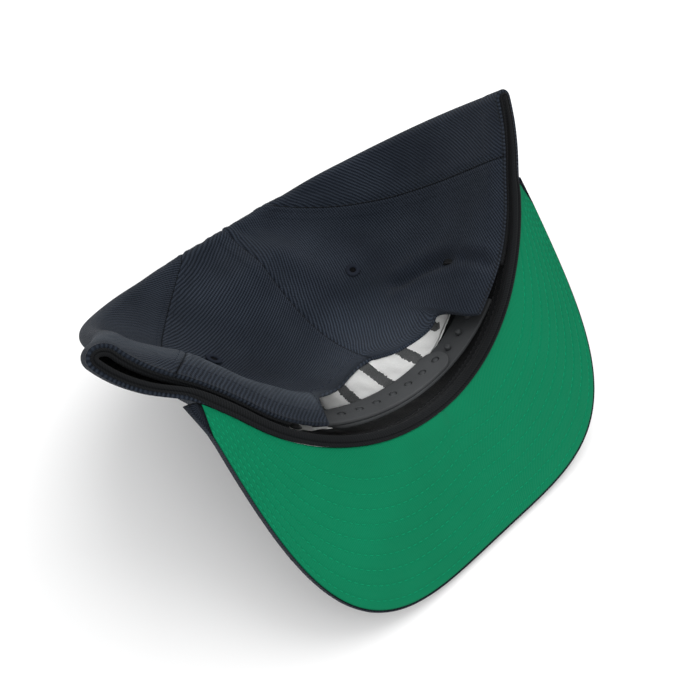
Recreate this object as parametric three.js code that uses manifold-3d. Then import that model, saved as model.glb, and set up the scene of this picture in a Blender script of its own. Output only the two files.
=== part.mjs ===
// A six-panel snapback cap lying upside down: it rests on the front edge of its peak and on the
// front of its crown, and the back half of the crown is pushed in, nested inside the front half.
// Millimetres, +Z up. The wearer's right is +X and the peak points to -Y.
// Sizes are first set out in the cap's own frame: x to the wearer's right, y to the front, z from
// the rim to the top of the crown. Angles run from the front centre towards the wearer's right.
import * as THREE from 'three';
import { mergeVertices } from 'three/addons/utils/BufferGeometryUtils.js';
import Module from 'manifold-3d';

const wasm = await Module();
wasm.setup();

// Cloth and gaps
const CLOTH = 1.5; // twill with its backing
const PIECE_GAP = 0.3; // between neighbouring pieces
const LAYER_GAP = 0.85; // between the crown's cloth and a layer behind it

// Crown
const HEAD_RADIUS = 95; // mean outer radius of the rim
const CROWN_HEIGHT = 105; // rim to top
const APEX_FORWARD = 19; // top centre ahead of the fold line
const APEX_HOLE = 5; // radius where the panels end under the button
const PLAN_FULLNESS = 2.6; // 2 is a half ellipsoid, more is squarer
const PROFILE_FULLNESS = 2.7;

// Back half pushed in
const FOLD_RADIUS = 2.9; // of the turn where the back half turns in
const TIP_LOOP = 2.2; // added to that radius at the wearer's left tip
const CENTRE_GAP = 12; // front cloth to back cloth, outer faces, at the rim's centre
const LEAN = 0.57; // how far the back wall leans in for each mm of height
const LEAN_DEPTH = 12; // most that it leans in
const ROLL_DEPTH = 4.5; // extra lean of the rolled rim at the wearer's left
const ROLL_HEIGHT = 17; // its crest above the rim
const BACK_RAISE = 1.5; // back rim above the front rim
const LEFT_TIP_DROP = 1; // rim at the wearer's left tip below the rest of the rim
const TIP_FLARE = 11; // how far the rim of that tip spreads out past the fold above it
const FLARE_START = 45; // distance left of the middle where the flare starts
const FLARE_LENGTH = 56; // ahead of the fold line, where it ends
const FLARE_HEIGHT = 11; // over which it fades above the rim
const ROLL_FADE = 0.6; // share of ROLL_HEIGHT over which the roll dies away above its crest
const GAP_EASE = 40; // behind the fold line, where the gap reaches its own size
const LEAN_EASE = 30; // the same for the lean

// Rear opening, as wide as its share of the back panels
const OPENING_HEIGHT = 39;

// Peak
const PEAK_HALF_WIDTH = 89;
const PEAK_ASIDE = -1.2; // its outline lies this far towards the wearer's right
const PEAK_LENGTH = 62; // ahead of the rim at the centre
const PEAK_ROOT = 37; // where its sides start, ahead of the fold line
const PEAK_SQUARENESS = 3.9;
const PEAK_ARCH = 2.5; // sides below the centre
const PEAK_END_ANGLE = 66; // where it leaves the rim
const PEAK_SEAT_GAP = 0.6; // rim to peak
const PEAK_TOP = 3.6; // thickness of the core with its twill cover
const PEAK_LINING = 0.9; // thickness of the green underside
const PEAK_EDGE = 1.4; // height of the top edge's slope
const EDGE_LIP = 1.0; // twill that shows round the green

// Sweatband, front backing
const BAND_HEIGHT = 32;
const BAND_CLOTH = 1.0;
const BAND_RIGHT_END = 137; // just past the tucked strap ends
const BAND_LEFT_END = 137;
const BAND_STEPS = [0, 0.17, 0.34, 0.48, 0.62, 0.8, 1]; // shares of its height with a row of points
const BACKING_CLOTH = 0.8;
const BACKING_ANGLE = 52;
const BACKING_TOP = 92; // height where it ends
const BACKING_GAP = 1.2; // from the sweatband's top

// Strap
const STRAP_WIDTH = 14.2;
const STRAP_THICKNESS = 1.5;
const STRAP_INSET = 0.65; // its lower edge's arc inside the head radius
const STRAP_RADIUS = HEAD_RADIUS - STRAP_INSET;
const STRAP_CENTRE = -7.25; // centre of that arc, behind the fold line
const STRAP_LEAN = 0.31; // drawn in for each mm of height
const STRAP_RAISE = 3.6; // lower edge above the rim
const STRAP_TUCK = 6; // degrees of each end hidden behind the cloth
const STRAP_PITCH = 5.3; // degrees from hole to hole
const HOLE_COUNT = 7;
const FIRST_HOLE = 9.0; // angle of the hole next to the free end
const PEG_COUNT = 10;
const PEGS_PAST_END = 3; // pegs in view past the free end
const HOLE_RADIUS = 1.75;
const PEG_RADIUS = 1.3;
const PEG_RECESS = 0.3; // peg's end below the visible face
const PEG_ROOT = 0.5; // how deep it joins its strap
const STRAP_FREE_END = 12.1; // angle of its rounded end
const STRAP_RIGHT_LEG = 25; // strap angles where the cloth's legs stand
const STRAP_LEFT_LEG = -27;

// Button and eyelets
const BUTTON_RADIUS = 6.5;
const BUTTON_HEIGHT = 3.4;
const EYELET_RADIUS = 3.7;
const EYELET_HOLE = 1.4;
const EYELET_HEIGHT = 0.7;
const EYELET_BEVEL = 0.5;

// Rest on the floor
const PRESS = 2.0; // how far the crown is flattened where it rests
const PRESS_BAND = 2.5;

// Rim, a row for each direction. right and left are outer radii as shares of HEAD_RADIUS.
// Gaps are shares of CENTRE_GAP, leans of LEAN_DEPTH and the roll of ROLL_DEPTH, all at the point
// of the back half that faces that direction once it is pushed in.
const RIM_ROWS = [
  { deg: 0, right: 1.04, left: 1.04, gapRight: 1, gapLeft: 1, lean: 1, roll: 0 },
  { deg: 15, right: 1.03, left: 1.037, gapRight: 0.98, gapLeft: 0.99, lean: 1, roll: 0 },
  { deg: 30, right: 1.01, left: 1.02, gapRight: 0.93, gapLeft: 0.75, lean: 1, roll: 0.45 },
  { deg: 45, right: 0.99, left: 1, gapRight: 0.7, gapLeft: 0.63, lean: 0.75, roll: 1 },
  { deg: 60, right: 0.983, left: 0.981, gapRight: 0.58, gapLeft: 0.63, lean: 0.4, roll: 1 },
  { deg: 68, right: 0.99, left: 0.99, gapRight: 0.57, gapLeft: 0.66, lean: 0.3, roll: 1 },
  { deg: 76, right: 1.015, left: 1.05, gapRight: 0.57, gapLeft: 0.88, lean: 0.25, roll: 1 },
  { deg: 83, right: 1.04, left: 1.088, gapRight: 0.58, gapLeft: 1, lean: 0.22, roll: 0.95 },
  { deg: 90, right: 1.06, left: 1.107, gapRight: 0.6, gapLeft: 0.88, lean: 0.2, roll: 0.9 },
];

// Seams between panels: direction at the rim and at the top
const SEAMS = {
  front: { rim: 0, top: 0 },
  side: { rim: 60, top: 60 },
  rear: { rim: 107, top: 120 },
  back: { rim: 180, top: 180 },
};

// Middle of each eyelet: degrees from the front centre, rise, and seat clear of the cloth's facets
const EYELETS = {
  front_right: { deg: 30, rise: 0.52, seat: 0.6 },
  side_right: { deg: 84, rise: 0.5, seat: 0.5 },
  back_right: { deg: 146, rise: 0.485, seat: 0.75 },
  front_left: { deg: -30, rise: 0.52, seat: 0.6 },
  side_left: { deg: -84, rise: 0.5, seat: 0.5 },
  back_left: { deg: -132, rise: 0.41, seat: 0.75 },
};

// Edge of the rear opening: across is the share of the back panel's width from the centre seam,
// and the heights are shares of OPENING_HEIGHT.
const OPENING_ROWS = [
  { across: 0, right: 0.99, left: 0.99 },
  { across: 0.07, right: 0.76, left: 1 },
  { across: 0.14, right: 0.64, left: 0.91 },
  { across: 0.21, right: 0.53, left: 0.77 },
  { across: 0.27, right: 0.48, left: 0.65 },
  { across: 0.33, right: 0.53, left: 0.56 },
  { across: 0.35, right: 0, left: 0.53 },
  { across: 0.4, right: 0, left: 0.48 },
  { across: 0.43, right: 0, left: 0.31 },
  { across: 0.445, right: 0, left: 0 },
];

const RAD = Math.PI / 180;
const clamp = (value, low, high) => Math.min(high, Math.max(low, value));
const smooth = (value) => {
  const s = clamp(value, 0, 1);
  return s * s * (3 - 2 * s);
};
const mix = (a, b, s) => a + (b - a) * s;
const signedPower = (value, power) => Math.sign(value) * Math.abs(value) ** power;

// A column of a table read at key, with smooth turns at its rows and level ends
function readRows(rows, keyName, column, key) {
  const last = rows.length - 1;
  let i = 0;
  while (i < last - 1 && rows[i + 1][keyName] < key) i++;
  const [a, b] = [rows[i], rows[i + 1]];
  const span = b[keyName] - a[keyName];
  const s = clamp((key - a[keyName]) / span, 0, 1);
  const slope = (j) => {
    if (j <= 0 || j >= last) return 0;
    return (rows[j + 1][column] - rows[j - 1][column]) / (rows[j + 1][keyName] - rows[j - 1][keyName]);
  };
  const [s2, s3] = [s * s, s * s * s];
  return (
    (2 * s3 - 3 * s2 + 1) * a[column] +
    (s3 - 2 * s2 + s) * span * slope(i) +
    (3 * s2 - 2 * s3) * b[column] +
    (s3 - s2) * span * slope(i + 1)
  );
}

// Outer radius of the rim in a direction, before the back half is pushed in
function rimRadius(angle) {
  const turned = Math.abs(((angle + 540) % 360) - 180);
  const facing = turned > 90 ? 180 - turned : turned;
  const column = Math.sin(angle * RAD) >= 0 ? 'right' : 'left';
  return HEAD_RADIUS * readRows(RIM_ROWS, 'deg', column, facing);
}

// Middle of the cloth of the full crown: rise is 0 at the rim and 1 at the top
function domePoint(angle, rise) {
  const radius = rimRadius(angle) - CLOTH / 2;
  const plan = Math.max(0, Math.cos((Math.PI / 2) * rise)) ** (2 / PLAN_FULLNESS);
  const height = Math.sin((Math.PI / 2) * Math.max(0, rise)) ** (2 / PROFILE_FULLNESS);
  const x = radius * Math.sin(angle * RAD) * plan;
  const y = radius * Math.cos(angle * RAD) * plan + APEX_FORWARD * (1 - plan);
  return new THREE.Vector3(x, y, CROWN_HEIGHT * height);
}

function riseAt(height) {
  const share = clamp(height / CROWN_HEIGHT, 0, 1);
  return (2 / Math.PI) * Math.asin(share ** (PROFILE_FULLNESS / 2));
}

// How far the pushed-in wall stands in from the front wall, middle of cloth to middle of cloth
function nestDepth(x, y, z) {
  const facing = Math.abs(Math.atan2(x, Math.abs(y)) / RAD);
  const read = (column) => readRows(RIM_ROWS, 'deg', column, facing);
  const rim = CENTRE_GAP * read(x >= 0 ? 'gapRight' : 'gapLeft') - CLOTH;
  const most = LEAN_DEPTH * read('lean');
  const lean = most * Math.tanh((LEAN * z) / most);
  const u = z / ROLL_HEIGHT;
  const crest = u < 1 ? Math.sin((Math.PI / 2) * Math.max(0, u)) : Math.exp(-(((u - 1) / ROLL_FADE) ** 2));
  const roll = x < 0 ? ROLL_DEPTH * read('roll') * crest : 0;
  return { rim, lean: lean + roll };
}

// The back half mirrored inside the front half, with a round turn along the fold line
function foldIn(point) {
  const { x, y, z } = point;
  const low = 1 - z / CROWN_HEIGHT;
  const radius = FOLD_RADIUS + TIP_LOOP * smooth(-x / HEAD_RADIUS) * low * low;
  const turn = clamp(y / radius, -Math.PI / 2, Math.PI / 2);
  const past = Math.max(0, Math.abs(y) - (Math.PI / 2) * radius);
  const along = radius * (Math.PI / 2 - Math.cos(turn)) + past;
  const inward = new THREE.Vector3(-x, -along, (-z * HEAD_RADIUS ** 2) / CROWN_HEIGHT ** 2).normalize();
  let depth = radius * (1 - Math.sin(turn));
  if (y < 0) {
    const nest = nestDepth(x, y, z);
    depth += (nest.rim - 2 * radius) * smooth(-y / GAP_EASE) + nest.lean * smooth(-y / LEAN_EASE);
  }
  const raised = z + BACK_RAISE * smooth(-y / GAP_EASE);
  return new THREE.Vector3(x, along, raised).addScaledVector(inward, depth);
}

// The rim arches with the peak, and its left tip dips and flares out past the peak's side
function archWithPeak(point) {
  const low = clamp(1 - point.z / CROWN_HEIGHT, 0, 1);
  const tip = smooth((-point.x - PEAK_HALF_WIDTH) / (0.2 * PEAK_HALF_WIDTH));
  point.z -= (PEAK_ARCH * (point.x / PEAK_HALF_WIDTH) ** 2 + LEFT_TIP_DROP * tip) * low;
  const left = smooth((-point.x - FLARE_START) / FLARE_START);
  const behind = smooth((FLARE_LENGTH - point.y) / FLARE_LENGTH);
  point.x -= TIP_FLARE * left * behind * Math.exp(-((Math.max(0, point.z) / FLARE_HEIGHT) ** 2));
  return point;
}

// Plan outline of the peak's front and sides; turn runs from -90 to 90
function peakOutline(turn) {
  const front = rimRadius(0) + PEAK_LENGTH;
  const power = 2 / PEAK_SQUARENESS;
  const x = PEAK_ASIDE + PEAK_HALF_WIDTH * signedPower(Math.sin(turn * RAD), power);
  const y = PEAK_ROOT + (front - PEAK_ROOT) * Math.abs(Math.cos(turn * RAD)) ** power;
  return new THREE.Vector2(x, y);
}

const PEAK_THICKNESS = PEAK_LINING + PIECE_GAP + PEAK_TOP;

// From the cap's frame to the tipped pose, before it is set down on the floor
function tipOver(point, tilt) {
  const [c, s] = [Math.cos(tilt), Math.sin(tilt)];
  return new THREE.Vector3(point.x, -point.y * c + point.z * s, -point.y * s - point.z * c);
}

function lowestOfPeak(tilt) {
  let low = Infinity;
  for (let turn = -90; turn <= 90; turn += 3) {
    const p = peakOutline(turn);
    for (const z of [PEAK_LINING + PIECE_GAP, PEAK_THICKNESS - PEAK_EDGE]) {
      const tipped = tipOver(archWithPeak(new THREE.Vector3(p.x, p.y, z)), tilt);
      low = Math.min(low, tipped.z);
    }
  }
  return low;
}

function lowestOfCrown(tilt) {
  let low = Infinity;
  for (let angle = -90; angle <= 90; angle += 5) {
    for (let rise = 0; rise <= 1; rise += 0.05) {
      low = Math.min(low, tipOver(archWithPeak(domePoint(angle, rise)), tilt).z);
    }
  }
  return low - CLOTH / 2;
}

// The tilt at which the peak's edge and the flattened crown both touch the floor
function restingTilt() {
  let [low, high] = [0.1 * Math.PI, 0.4 * Math.PI];
  for (let step = 0; step < 40; step++) {
    const tilt = (low + high) / 2;
    if (lowestOfPeak(tilt) > lowestOfCrown(tilt) + PRESS) low = tilt;
    else high = tilt;
  }
  return (low + high) / 2;
}

const TILT = restingTilt();
const FLOOR = lowestOfPeak(TILT);

const onFloorFrame = (point) => {
  const tipped = tipOver(point, TILT);
  tipped.z -= FLOOR;
  return tipped;
};

// Middle of the crown's cloth as it lies, flattened where it rests
function crownPoint(angle, rise) {
  const point = onFloorFrame(archWithPeak(foldIn(domePoint(angle, rise))));
  const sunk = CLOTH / 2 + PRESS_BAND - point.z;
  if (sunk > 0) point.z = CLOTH / 2 + PRESS_BAND * (1 - Math.tanh(sunk / PRESS_BAND));
  return point;
}

// The cloth's outward direction there
function crownNormal(angle, rise) {
  const [da, dr] = [0.05, 0.0005];
  const low = Math.max(0, rise - dr);
  const across = crownPoint(angle + da, rise).sub(crownPoint(angle - da, rise));
  const up = crownPoint(angle, low + 2 * dr).sub(crownPoint(angle, low));
  return up.cross(across).normalize();
}

// A geometry from points and triangles, turned so that its faces point out
function closedGeometry(points, triangles) {
  let volume = 0;
  for (const [a, b, c] of triangles) {
    volume += points[a].dot(new THREE.Vector3().crossVectors(points[b], points[c])) / 6;
  }
  const index = triangles.flatMap(([a, b, c]) => (volume < 0 ? [a, c, b] : [a, b, c]));
  const geometry = new THREE.BufferGeometry();
  const position = new Float32Array(points.flatMap((p) => [p.x, p.y, p.z]));
  geometry.setAttribute('position', new THREE.BufferAttribute(position, 3));
  geometry.setIndex(index);
  return geometry;
}

// A sheet between two faces, from a grid of { point, normal } in rows of equal length
function sheetGeometry(grid, offset, thickness) {
  const rows = grid.length;
  const columns = grid[0].length;
  const points = [];
  for (const side of [0.5, -0.5]) {
    for (const row of grid) {
      for (const { point, normal } of row) {
        points.push(point.clone().addScaledVector(normal, offset + side * thickness));
      }
    }
  }
  const at = (face, i, j) => (face * rows + i) * columns + j;
  const triangles = [];
  const quad = (a, b, c, d) => triangles.push([a, b, c], [a, c, d]);
  for (let i = 0; i + 1 < rows; i++) {
    for (let j = 0; j + 1 < columns; j++) {
      quad(at(0, i, j), at(0, i, j + 1), at(0, i + 1, j + 1), at(0, i + 1, j));
      quad(at(1, i, j), at(1, i + 1, j), at(1, i + 1, j + 1), at(1, i, j + 1));
    }
  }
  for (let j = 0; j + 1 < columns; j++) {
    quad(at(0, 0, j), at(1, 0, j), at(1, 0, j + 1), at(0, 0, j + 1));
    quad(at(0, rows - 1, j + 1), at(1, rows - 1, j + 1), at(1, rows - 1, j), at(0, rows - 1, j));
  }
  for (let i = 0; i + 1 < rows; i++) {
    quad(at(0, i + 1, 0), at(1, i + 1, 0), at(1, i, 0), at(0, i, 0));
    const last = columns - 1;
    quad(at(0, i, last), at(1, i, last), at(1, i + 1, last), at(0, i + 1, last));
  }
  return closedGeometry(points, triangles);
}

// Loops of equal length joined one after another, with both ends closed
function loftGeometry(loops, flatLoop) {
  const count = loops[0].length;
  const points = loops.flat();
  const triangles = [];
  for (let i = 0; i + 1 < loops.length; i++) {
    for (let j = 0; j < count; j++) {
      const k = (j + 1) % count;
      const [a, b] = [i * count + j, i * count + k];
      triangles.push([a, b, b + count], [a, b + count, a + count]);
    }
  }
  const end = (loops.length - 1) * count;
  const turnsLeft = THREE.ShapeUtils.area(flatLoop) > 0;
  for (const corners of THREE.ShapeUtils.triangulateShape(flatLoop, [])) {
    const sameTurn = THREE.ShapeUtils.area(corners.map((i) => flatLoop[i])) > 0 === turnsLeft;
    const [a, b, c] = sameTurn ? corners : corners.slice().reverse();
    triangles.push([a, c, b], [end + a, end + b, end + c]);
  }
  return closedGeometry(points, triangles);
}

// Stations from 0 to 1 along a line over the crown, closer together at the fold and at the rim
const STATION_SAMPLES = 160;
const FOLD_BAND = 2.2; // half width of the close stations at the fold, in fold radii
const FOLD_CLOSER = 5;
const RIM_BAND = 18; // height of the close stations above the rim
const RIM_CLOSER = 3;
function spreadStations(count, angleRiseAt) {
  const sums = [0];
  let before = null;
  for (let i = 0; i <= STATION_SAMPLES; i++) {
    const [angle, rise] = angleRiseAt(i / STATION_SAMPLES);
    const flat = domePoint(angle, rise);
    const here = crownPoint(angle, rise);
    const nearFold = Math.exp(-((flat.y / (FOLD_BAND * FOLD_RADIUS)) ** 2));
    const nearRim = Math.exp(-flat.z / RIM_BAND);
    const closer = 1 + FOLD_CLOSER * nearFold + RIM_CLOSER * nearRim;
    if (before) sums.push(sums[i - 1] + here.distanceTo(before) * closer);
    before = here;
  }
  const total = sums[STATION_SAMPLES];
  const stations = [];
  let i = 0;
  for (let k = 0; k <= count; k++) {
    const goal = (total * k) / count;
    while (i < STATION_SAMPLES - 1 && sums[i + 1] < goal) i++;
    stations.push((i + clamp((goal - sums[i]) / (sums[i + 1] - sums[i]), 0, 1)) / STATION_SAMPLES);
  }
  return stations;
}

const PANEL_ROWS = 20; // cells up a side or back panel
const FRONT_ROWS = 12;
const BAND_STATIONS = 56; // cells along the sweatband
const ROWS_CLEAR = 6; // height above the opening where the rows run on level
const seamAngle = (seam, rise) => mix(seam.rim, seam.top, rise);
const TOP_RISE = (2 / Math.PI) * Math.acos((APEX_HOLE / HEAD_RADIUS) ** (PLAN_FULLNESS / 2));

// Direction in a panel at across, from 0 at its forward seam to 1 at its rearward seam
function panelAngle(panel, across, rise) {
  const from = seamAngle(SEAMS[panel.from], rise);
  const to = seamAngle(SEAMS[panel.to], rise);
  const radius = Math.max(APEX_HOLE, HEAD_RADIUS * Math.cos((Math.PI / 2) * rise) ** (2 / PLAN_FULLNESS));
  const inset = PIECE_GAP / 2 / radius / RAD;
  return panel.side * mix(from + inset, to - inset, across);
}

// Rise where the rear opening cuts a back panel
function openingRise(panel, across) {
  if (panel.to !== 'back') return 0;
  const fromCentre = 1 - across;
  if (fromCentre >= OPENING_ROWS.at(-1).across) return 0;
  const i = OPENING_ROWS.findIndex((row) => row.across > fromCentre);
  const [a, b] = [OPENING_ROWS[i - 1], OPENING_ROWS[i]];
  const column = panel.side > 0 ? 'right' : 'left';
  const s = (fromCentre - a.across) / (b.across - a.across);
  return riseAt(OPENING_HEIGHT * mix(a[column], b[column], s));
}

const crownSpot = (angle, rise) => ({ point: crownPoint(angle, rise), normal: crownNormal(angle, rise) });

// Stations up a seam, shared by the two panels that meet there
function seamStations(seamName, side, rows) {
  const climb = (s) => s * TOP_RISE;
  return spreadStations(rows, (s) => [side * seamAngle(SEAMS[seamName], climb(s)), climb(s)]);
}

// Front and side panels: rows of equal rise, with stations spread along each
function panelByRows(panel, columns, rows) {
  const grid = seamStations(panel.to, panel.side, rows).map((s) => {
    const rise = s * TOP_RISE;
    const stations = spreadStations(columns, (a) => [panelAngle(panel, a, rise), rise]);
    return stations.map((a) => crownSpot(panelAngle(panel, a, rise), rise));
  });
  return sheetGeometry(grid, 0, CLOTH);
}

// Back panels: lines that climb from the rim or the opening to the top. The rows above the opening
// run on level past it, and those below are squeezed in under it.
function panelByLines(panel, columns, rows) {
  const edge = OPENING_ROWS.map((row) => 1 - row.across);
  const plain = edge.at(-1);
  const across = edge.slice().reverse();
  for (let k = columns - 1; k >= 0; k--) across.unshift((plain * k) / columns);
  const seam = seamStations(panel.from, panel.side, rows);
  const clear = seam.findIndex((s) => s * TOP_RISE > riseAt(OPENING_HEIGHT + ROWS_CLEAR));
  const grid = across.map((a) => {
    const own = spreadStations(rows, (s) => [panelAngle(panel, a, s * TOP_RISE), s * TOP_RISE]);
    const stations = own.map((s, k) => mix(seam[k], s, Math.min(1, 3 * a)) * TOP_RISE);
    const low = openingRise(panel, a);
    const top = stations[clear];
    const rises = stations.map((rise, k) => (k < clear ? mix(low, top, rise / top) : rise));
    return rises.map((rise) => crownSpot(panelAngle(panel, a, rise), rise));
  });
  return sheetGeometry(grid, 0, CLOTH);
}

const PEAK_STATIONS = 42; // cells along the peak

// A peak section: d is measured in from the outer edge, z up from the green face
function peakLoop(share, profile) {
  const inner = peakInner(PEAK_END_ANGLE * share);
  const outer = peakOutline(90 * share);
  const width = inner.distanceTo(outer);
  return profile(width).map(([d, z]) => {
    const plan = outer.clone().lerp(inner, clamp(d / width, 0, 1));
    return onFloorFrame(archWithPeak(new THREE.Vector3(plan.x, plan.y, z)));
  });
}

function peakInner(angle) {
  const radius = rimRadius(angle) + PEAK_SEAT_GAP;
  return new THREE.Vector2(radius * Math.sin(angle * RAD), radius * Math.cos(angle * RAD));
}

// skipped is the number of stations left out at each end
function peakGeometry(profile, skipped) {
  const all = Array.from({ length: PEAK_STATIONS + 1 }, (_, k) => (2 * k) / PEAK_STATIONS - 1);
  const shares = all.slice(skipped, all.length - skipped);
  const flat = profile(40).map(([d, z]) => new THREE.Vector2(d, z));
  return loftGeometry(shares.map((share) => peakLoop(share, profile)), flat);
}

// The core and twill cover, whose lip wraps the green's edge
function peakTopProfile(width) {
  const seat = PEAK_LINING + PIECE_GAP;
  const lip = Math.min(EDGE_LIP, 0.4 * width);
  const top = PEAK_THICKNESS;
  return [
    [width, seat],
    [mix(lip, width, 0.66), seat],
    [mix(lip, width, 0.33), seat],
    [lip, seat],
    [lip, 0.15],
    [0.3 * lip, 0.3],
    [0, seat],
    [0, top - PEAK_EDGE],
    [0.8 * lip, top - 0.2],
    [mix(lip, width, 0.33), top],
    [mix(lip, width, 0.66), top],
    [width, top],
  ];
}

function peakLiningProfile(width) {
  const edge = Math.min(EDGE_LIP + PIECE_GAP, 0.6 * width);
  const steps = [1, 0.66, 0.33, 0];
  const low = steps.map((s) => [mix(edge, width, s), 0]);
  const high = steps.map((s) => [mix(edge, width, s), PEAK_LINING]).reverse();
  return [...low, ...high];
}

// Sweatband along the inside of the rim, from the left leg round the front to the right leg
function sweatbandGeometry() {
  const alongRim = (s) => mix(-BAND_LEFT_END, BAND_RIGHT_END, s);
  const offset = -(CLOTH + BAND_CLOTH) / 2 - LAYER_GAP;
  const heights = BAND_STEPS.map((share) => riseAt(share * BAND_HEIGHT));
  const stations = spreadStations(BAND_STATIONS, (s) => [alongRim(s), heights[1]]);
  const grid = heights.map((rise) => stations.map((s) => crownSpot(alongRim(s), rise)));
  return sheetGeometry(grid, offset, BAND_CLOTH);
}

// White backing behind the front panels, above the sweatband
function backingGeometry() {
  const [low, high] = [riseAt(BAND_HEIGHT + BACKING_GAP), riseAt(BACKING_TOP)];
  const offset = -(CLOTH + BACKING_CLOTH) / 2 - LAYER_GAP;
  const steps = Array.from({ length: 7 }, (_, k) => mix(low, high, k / 6));
  const turns = Array.from({ length: 13 }, (_, k) => mix(-BACKING_ANGLE, BACKING_ANGLE, k / 12));
  const grid = steps.map((rise) => turns.map((angle) => crownSpot(angle, rise)));
  return sheetGeometry(grid, offset, BACKING_CLOTH);
}

// A point of the strap: depth is measured from its visible face towards the front of the cap
function strapPoint(angle, height, depth) {
  const slope = Math.hypot(1, STRAP_LEAN);
  const z = STRAP_RAISE + (height + depth * STRAP_LEAN) / slope;
  const radius = STRAP_RADIUS - (STRAP_LEAN * height) / slope + depth / slope;
  const turned = angle * RAD;
  const y = STRAP_CENTRE + radius * Math.cos(turned);
  return onFloorFrame(new THREE.Vector3(radius * Math.sin(turned), y, z));
}

const toSolid = (geometry) => {
  const merged = mergeVertices(geometry, 1e-4);
  const vertProperties = merged.attributes.position.array;
  const triVerts = new Uint32Array(merged.index.array);
  return new wasm.Manifold(new wasm.Mesh({ numProp: 3, vertProperties, triVerts }));
};

const toGeometry = (solid) => {
  const mesh = solid.getMesh();
  const geometry = new THREE.BufferGeometry();
  geometry.setAttribute('position', new THREE.BufferAttribute(mesh.vertProperties, 3));
  geometry.setIndex(new THREE.BufferAttribute(mesh.triVerts, 1));
  return geometry;
};

// A curved slab from one angle to another; roundEnd rounds the end at the second angle
function strapSlab(from, to, depth, roundEnd) {
  const loops = [];
  const half = STRAP_WIDTH / 2;
  const capDegrees = half / STRAP_RADIUS / RAD;
  const sign = Math.sign(to - from);
  const bodyEnd = roundEnd ? to - sign * capDegrees : to;
  const stops = Array.from({ length: 15 }, (_, k) => [mix(from, bodyEnd, k / 14), half]);
  if (roundEnd) {
    for (const turn of [25, 45, 62, 76]) {
      stops.push([bodyEnd + sign * capDegrees * Math.sin(turn * RAD), half * Math.cos(turn * RAD)]);
    }
  }
  for (const [angle, reach] of stops) {
    loops.push([
      strapPoint(angle, half - reach, depth),
      strapPoint(angle, half + reach, depth),
      strapPoint(angle, half + reach, depth + STRAP_THICKNESS),
      strapPoint(angle, half - reach, depth + STRAP_THICKNESS),
    ]);
  }
  const flat = [[0, 0], [1, 0], [1, 1], [0, 1]].map(([x, y]) => new THREE.Vector2(x, y));
  return toSolid(loftGeometry(loops, flat));
}

// A round post across the strap, from one depth to another
function strapPost(angle, radius, fromDepth, toDepth) {
  const half = STRAP_WIDTH / 2;
  const [a, b] = [strapPoint(angle, half, fromDepth), strapPoint(angle, half, toDepth)];
  const geometry = new THREE.CylinderGeometry(radius, radius, a.distanceTo(b), 10);
  geometry.deleteAttribute('normal');
  geometry.deleteAttribute('uv');
  const along = b.clone().sub(a).normalize();
  geometry.applyQuaternion(new THREE.Quaternion().setFromUnitVectors(new THREE.Vector3(0, 1, 0), along));
  const middle = a.lerp(b, 0.5);
  geometry.translate(middle.x, middle.y, middle.z);
  return toSolid(geometry);
}

// Half with holes, on the visible side
function holeStrapGeometry() {
  let strap = strapSlab(STRAP_LEFT_LEG - STRAP_TUCK, STRAP_FREE_END, 0, true);
  for (let k = 0; k < HOLE_COUNT; k++) {
    const hole = strapPost(FIRST_HOLE - k * STRAP_PITCH, HOLE_RADIUS, -1, STRAP_THICKNESS + 1);
    strap = strap.subtract(hole);
  }
  return toGeometry(strap);
}

// Half with pegs, behind it, whose pegs stand in the holes
function pegStrapGeometry() {
  const depth = STRAP_THICKNESS + PIECE_GAP;
  const lastPeg = FIRST_HOLE + (PEGS_PAST_END - PEG_COUNT + 1) * STRAP_PITCH;
  let strap = strapSlab(STRAP_RIGHT_LEG + STRAP_TUCK, lastPeg - STRAP_PITCH, depth, true);
  for (let k = 0; k < PEG_COUNT; k++) {
    const angle = FIRST_HOLE + (PEGS_PAST_END - k) * STRAP_PITCH;
    strap = strap.add(strapPost(angle, PEG_RADIUS, PEG_RECESS, depth + PEG_ROOT));
  }
  return toGeometry(strap);
}

// A stitched ring that follows the cloth round one spot
function eyeletGeometry({ deg: angle, rise, seat }) {
  const [da, dr] = [0.5, 0.005];
  const acrossMm = crownPoint(angle + da, rise).distanceTo(crownPoint(angle - da, rise)) / (2 * da);
  const upMm = crownPoint(angle, rise + dr).distanceTo(crownPoint(angle, rise - dr)) / (2 * dr);
  const base = CLOTH / 2 + seat;
  const section = [
    [EYELET_HOLE, base],
    [EYELET_RADIUS, base],
    [EYELET_RADIUS - EYELET_BEVEL, base + EYELET_HEIGHT],
    [EYELET_HOLE + EYELET_BEVEL, base + EYELET_HEIGHT],
  ];
  const sides = 12;
  const points = [];
  for (let k = 0; k < sides; k++) {
    const turn = (2 * Math.PI * k) / sides;
    for (const [radius, height] of section) {
      const a = angle + (radius * Math.cos(turn)) / acrossMm;
      const r = rise + (radius * Math.sin(turn)) / upMm;
      points.push(crownPoint(a, r).addScaledVector(crownNormal(a, r), height));
    }
  }
  const triangles = [];
  for (let k = 0; k < sides; k++) {
    for (let j = 0; j < 4; j++) {
      const [a, b] = [k * 4 + j, k * 4 + ((j + 1) % 4)];
      const [c, d] = [((k + 1) % sides) * 4 + ((j + 1) % 4), ((k + 1) % sides) * 4 + j];
      triangles.push([a, b, c], [a, c, d]);
    }
  }
  return closedGeometry(points, triangles);
}

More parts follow.
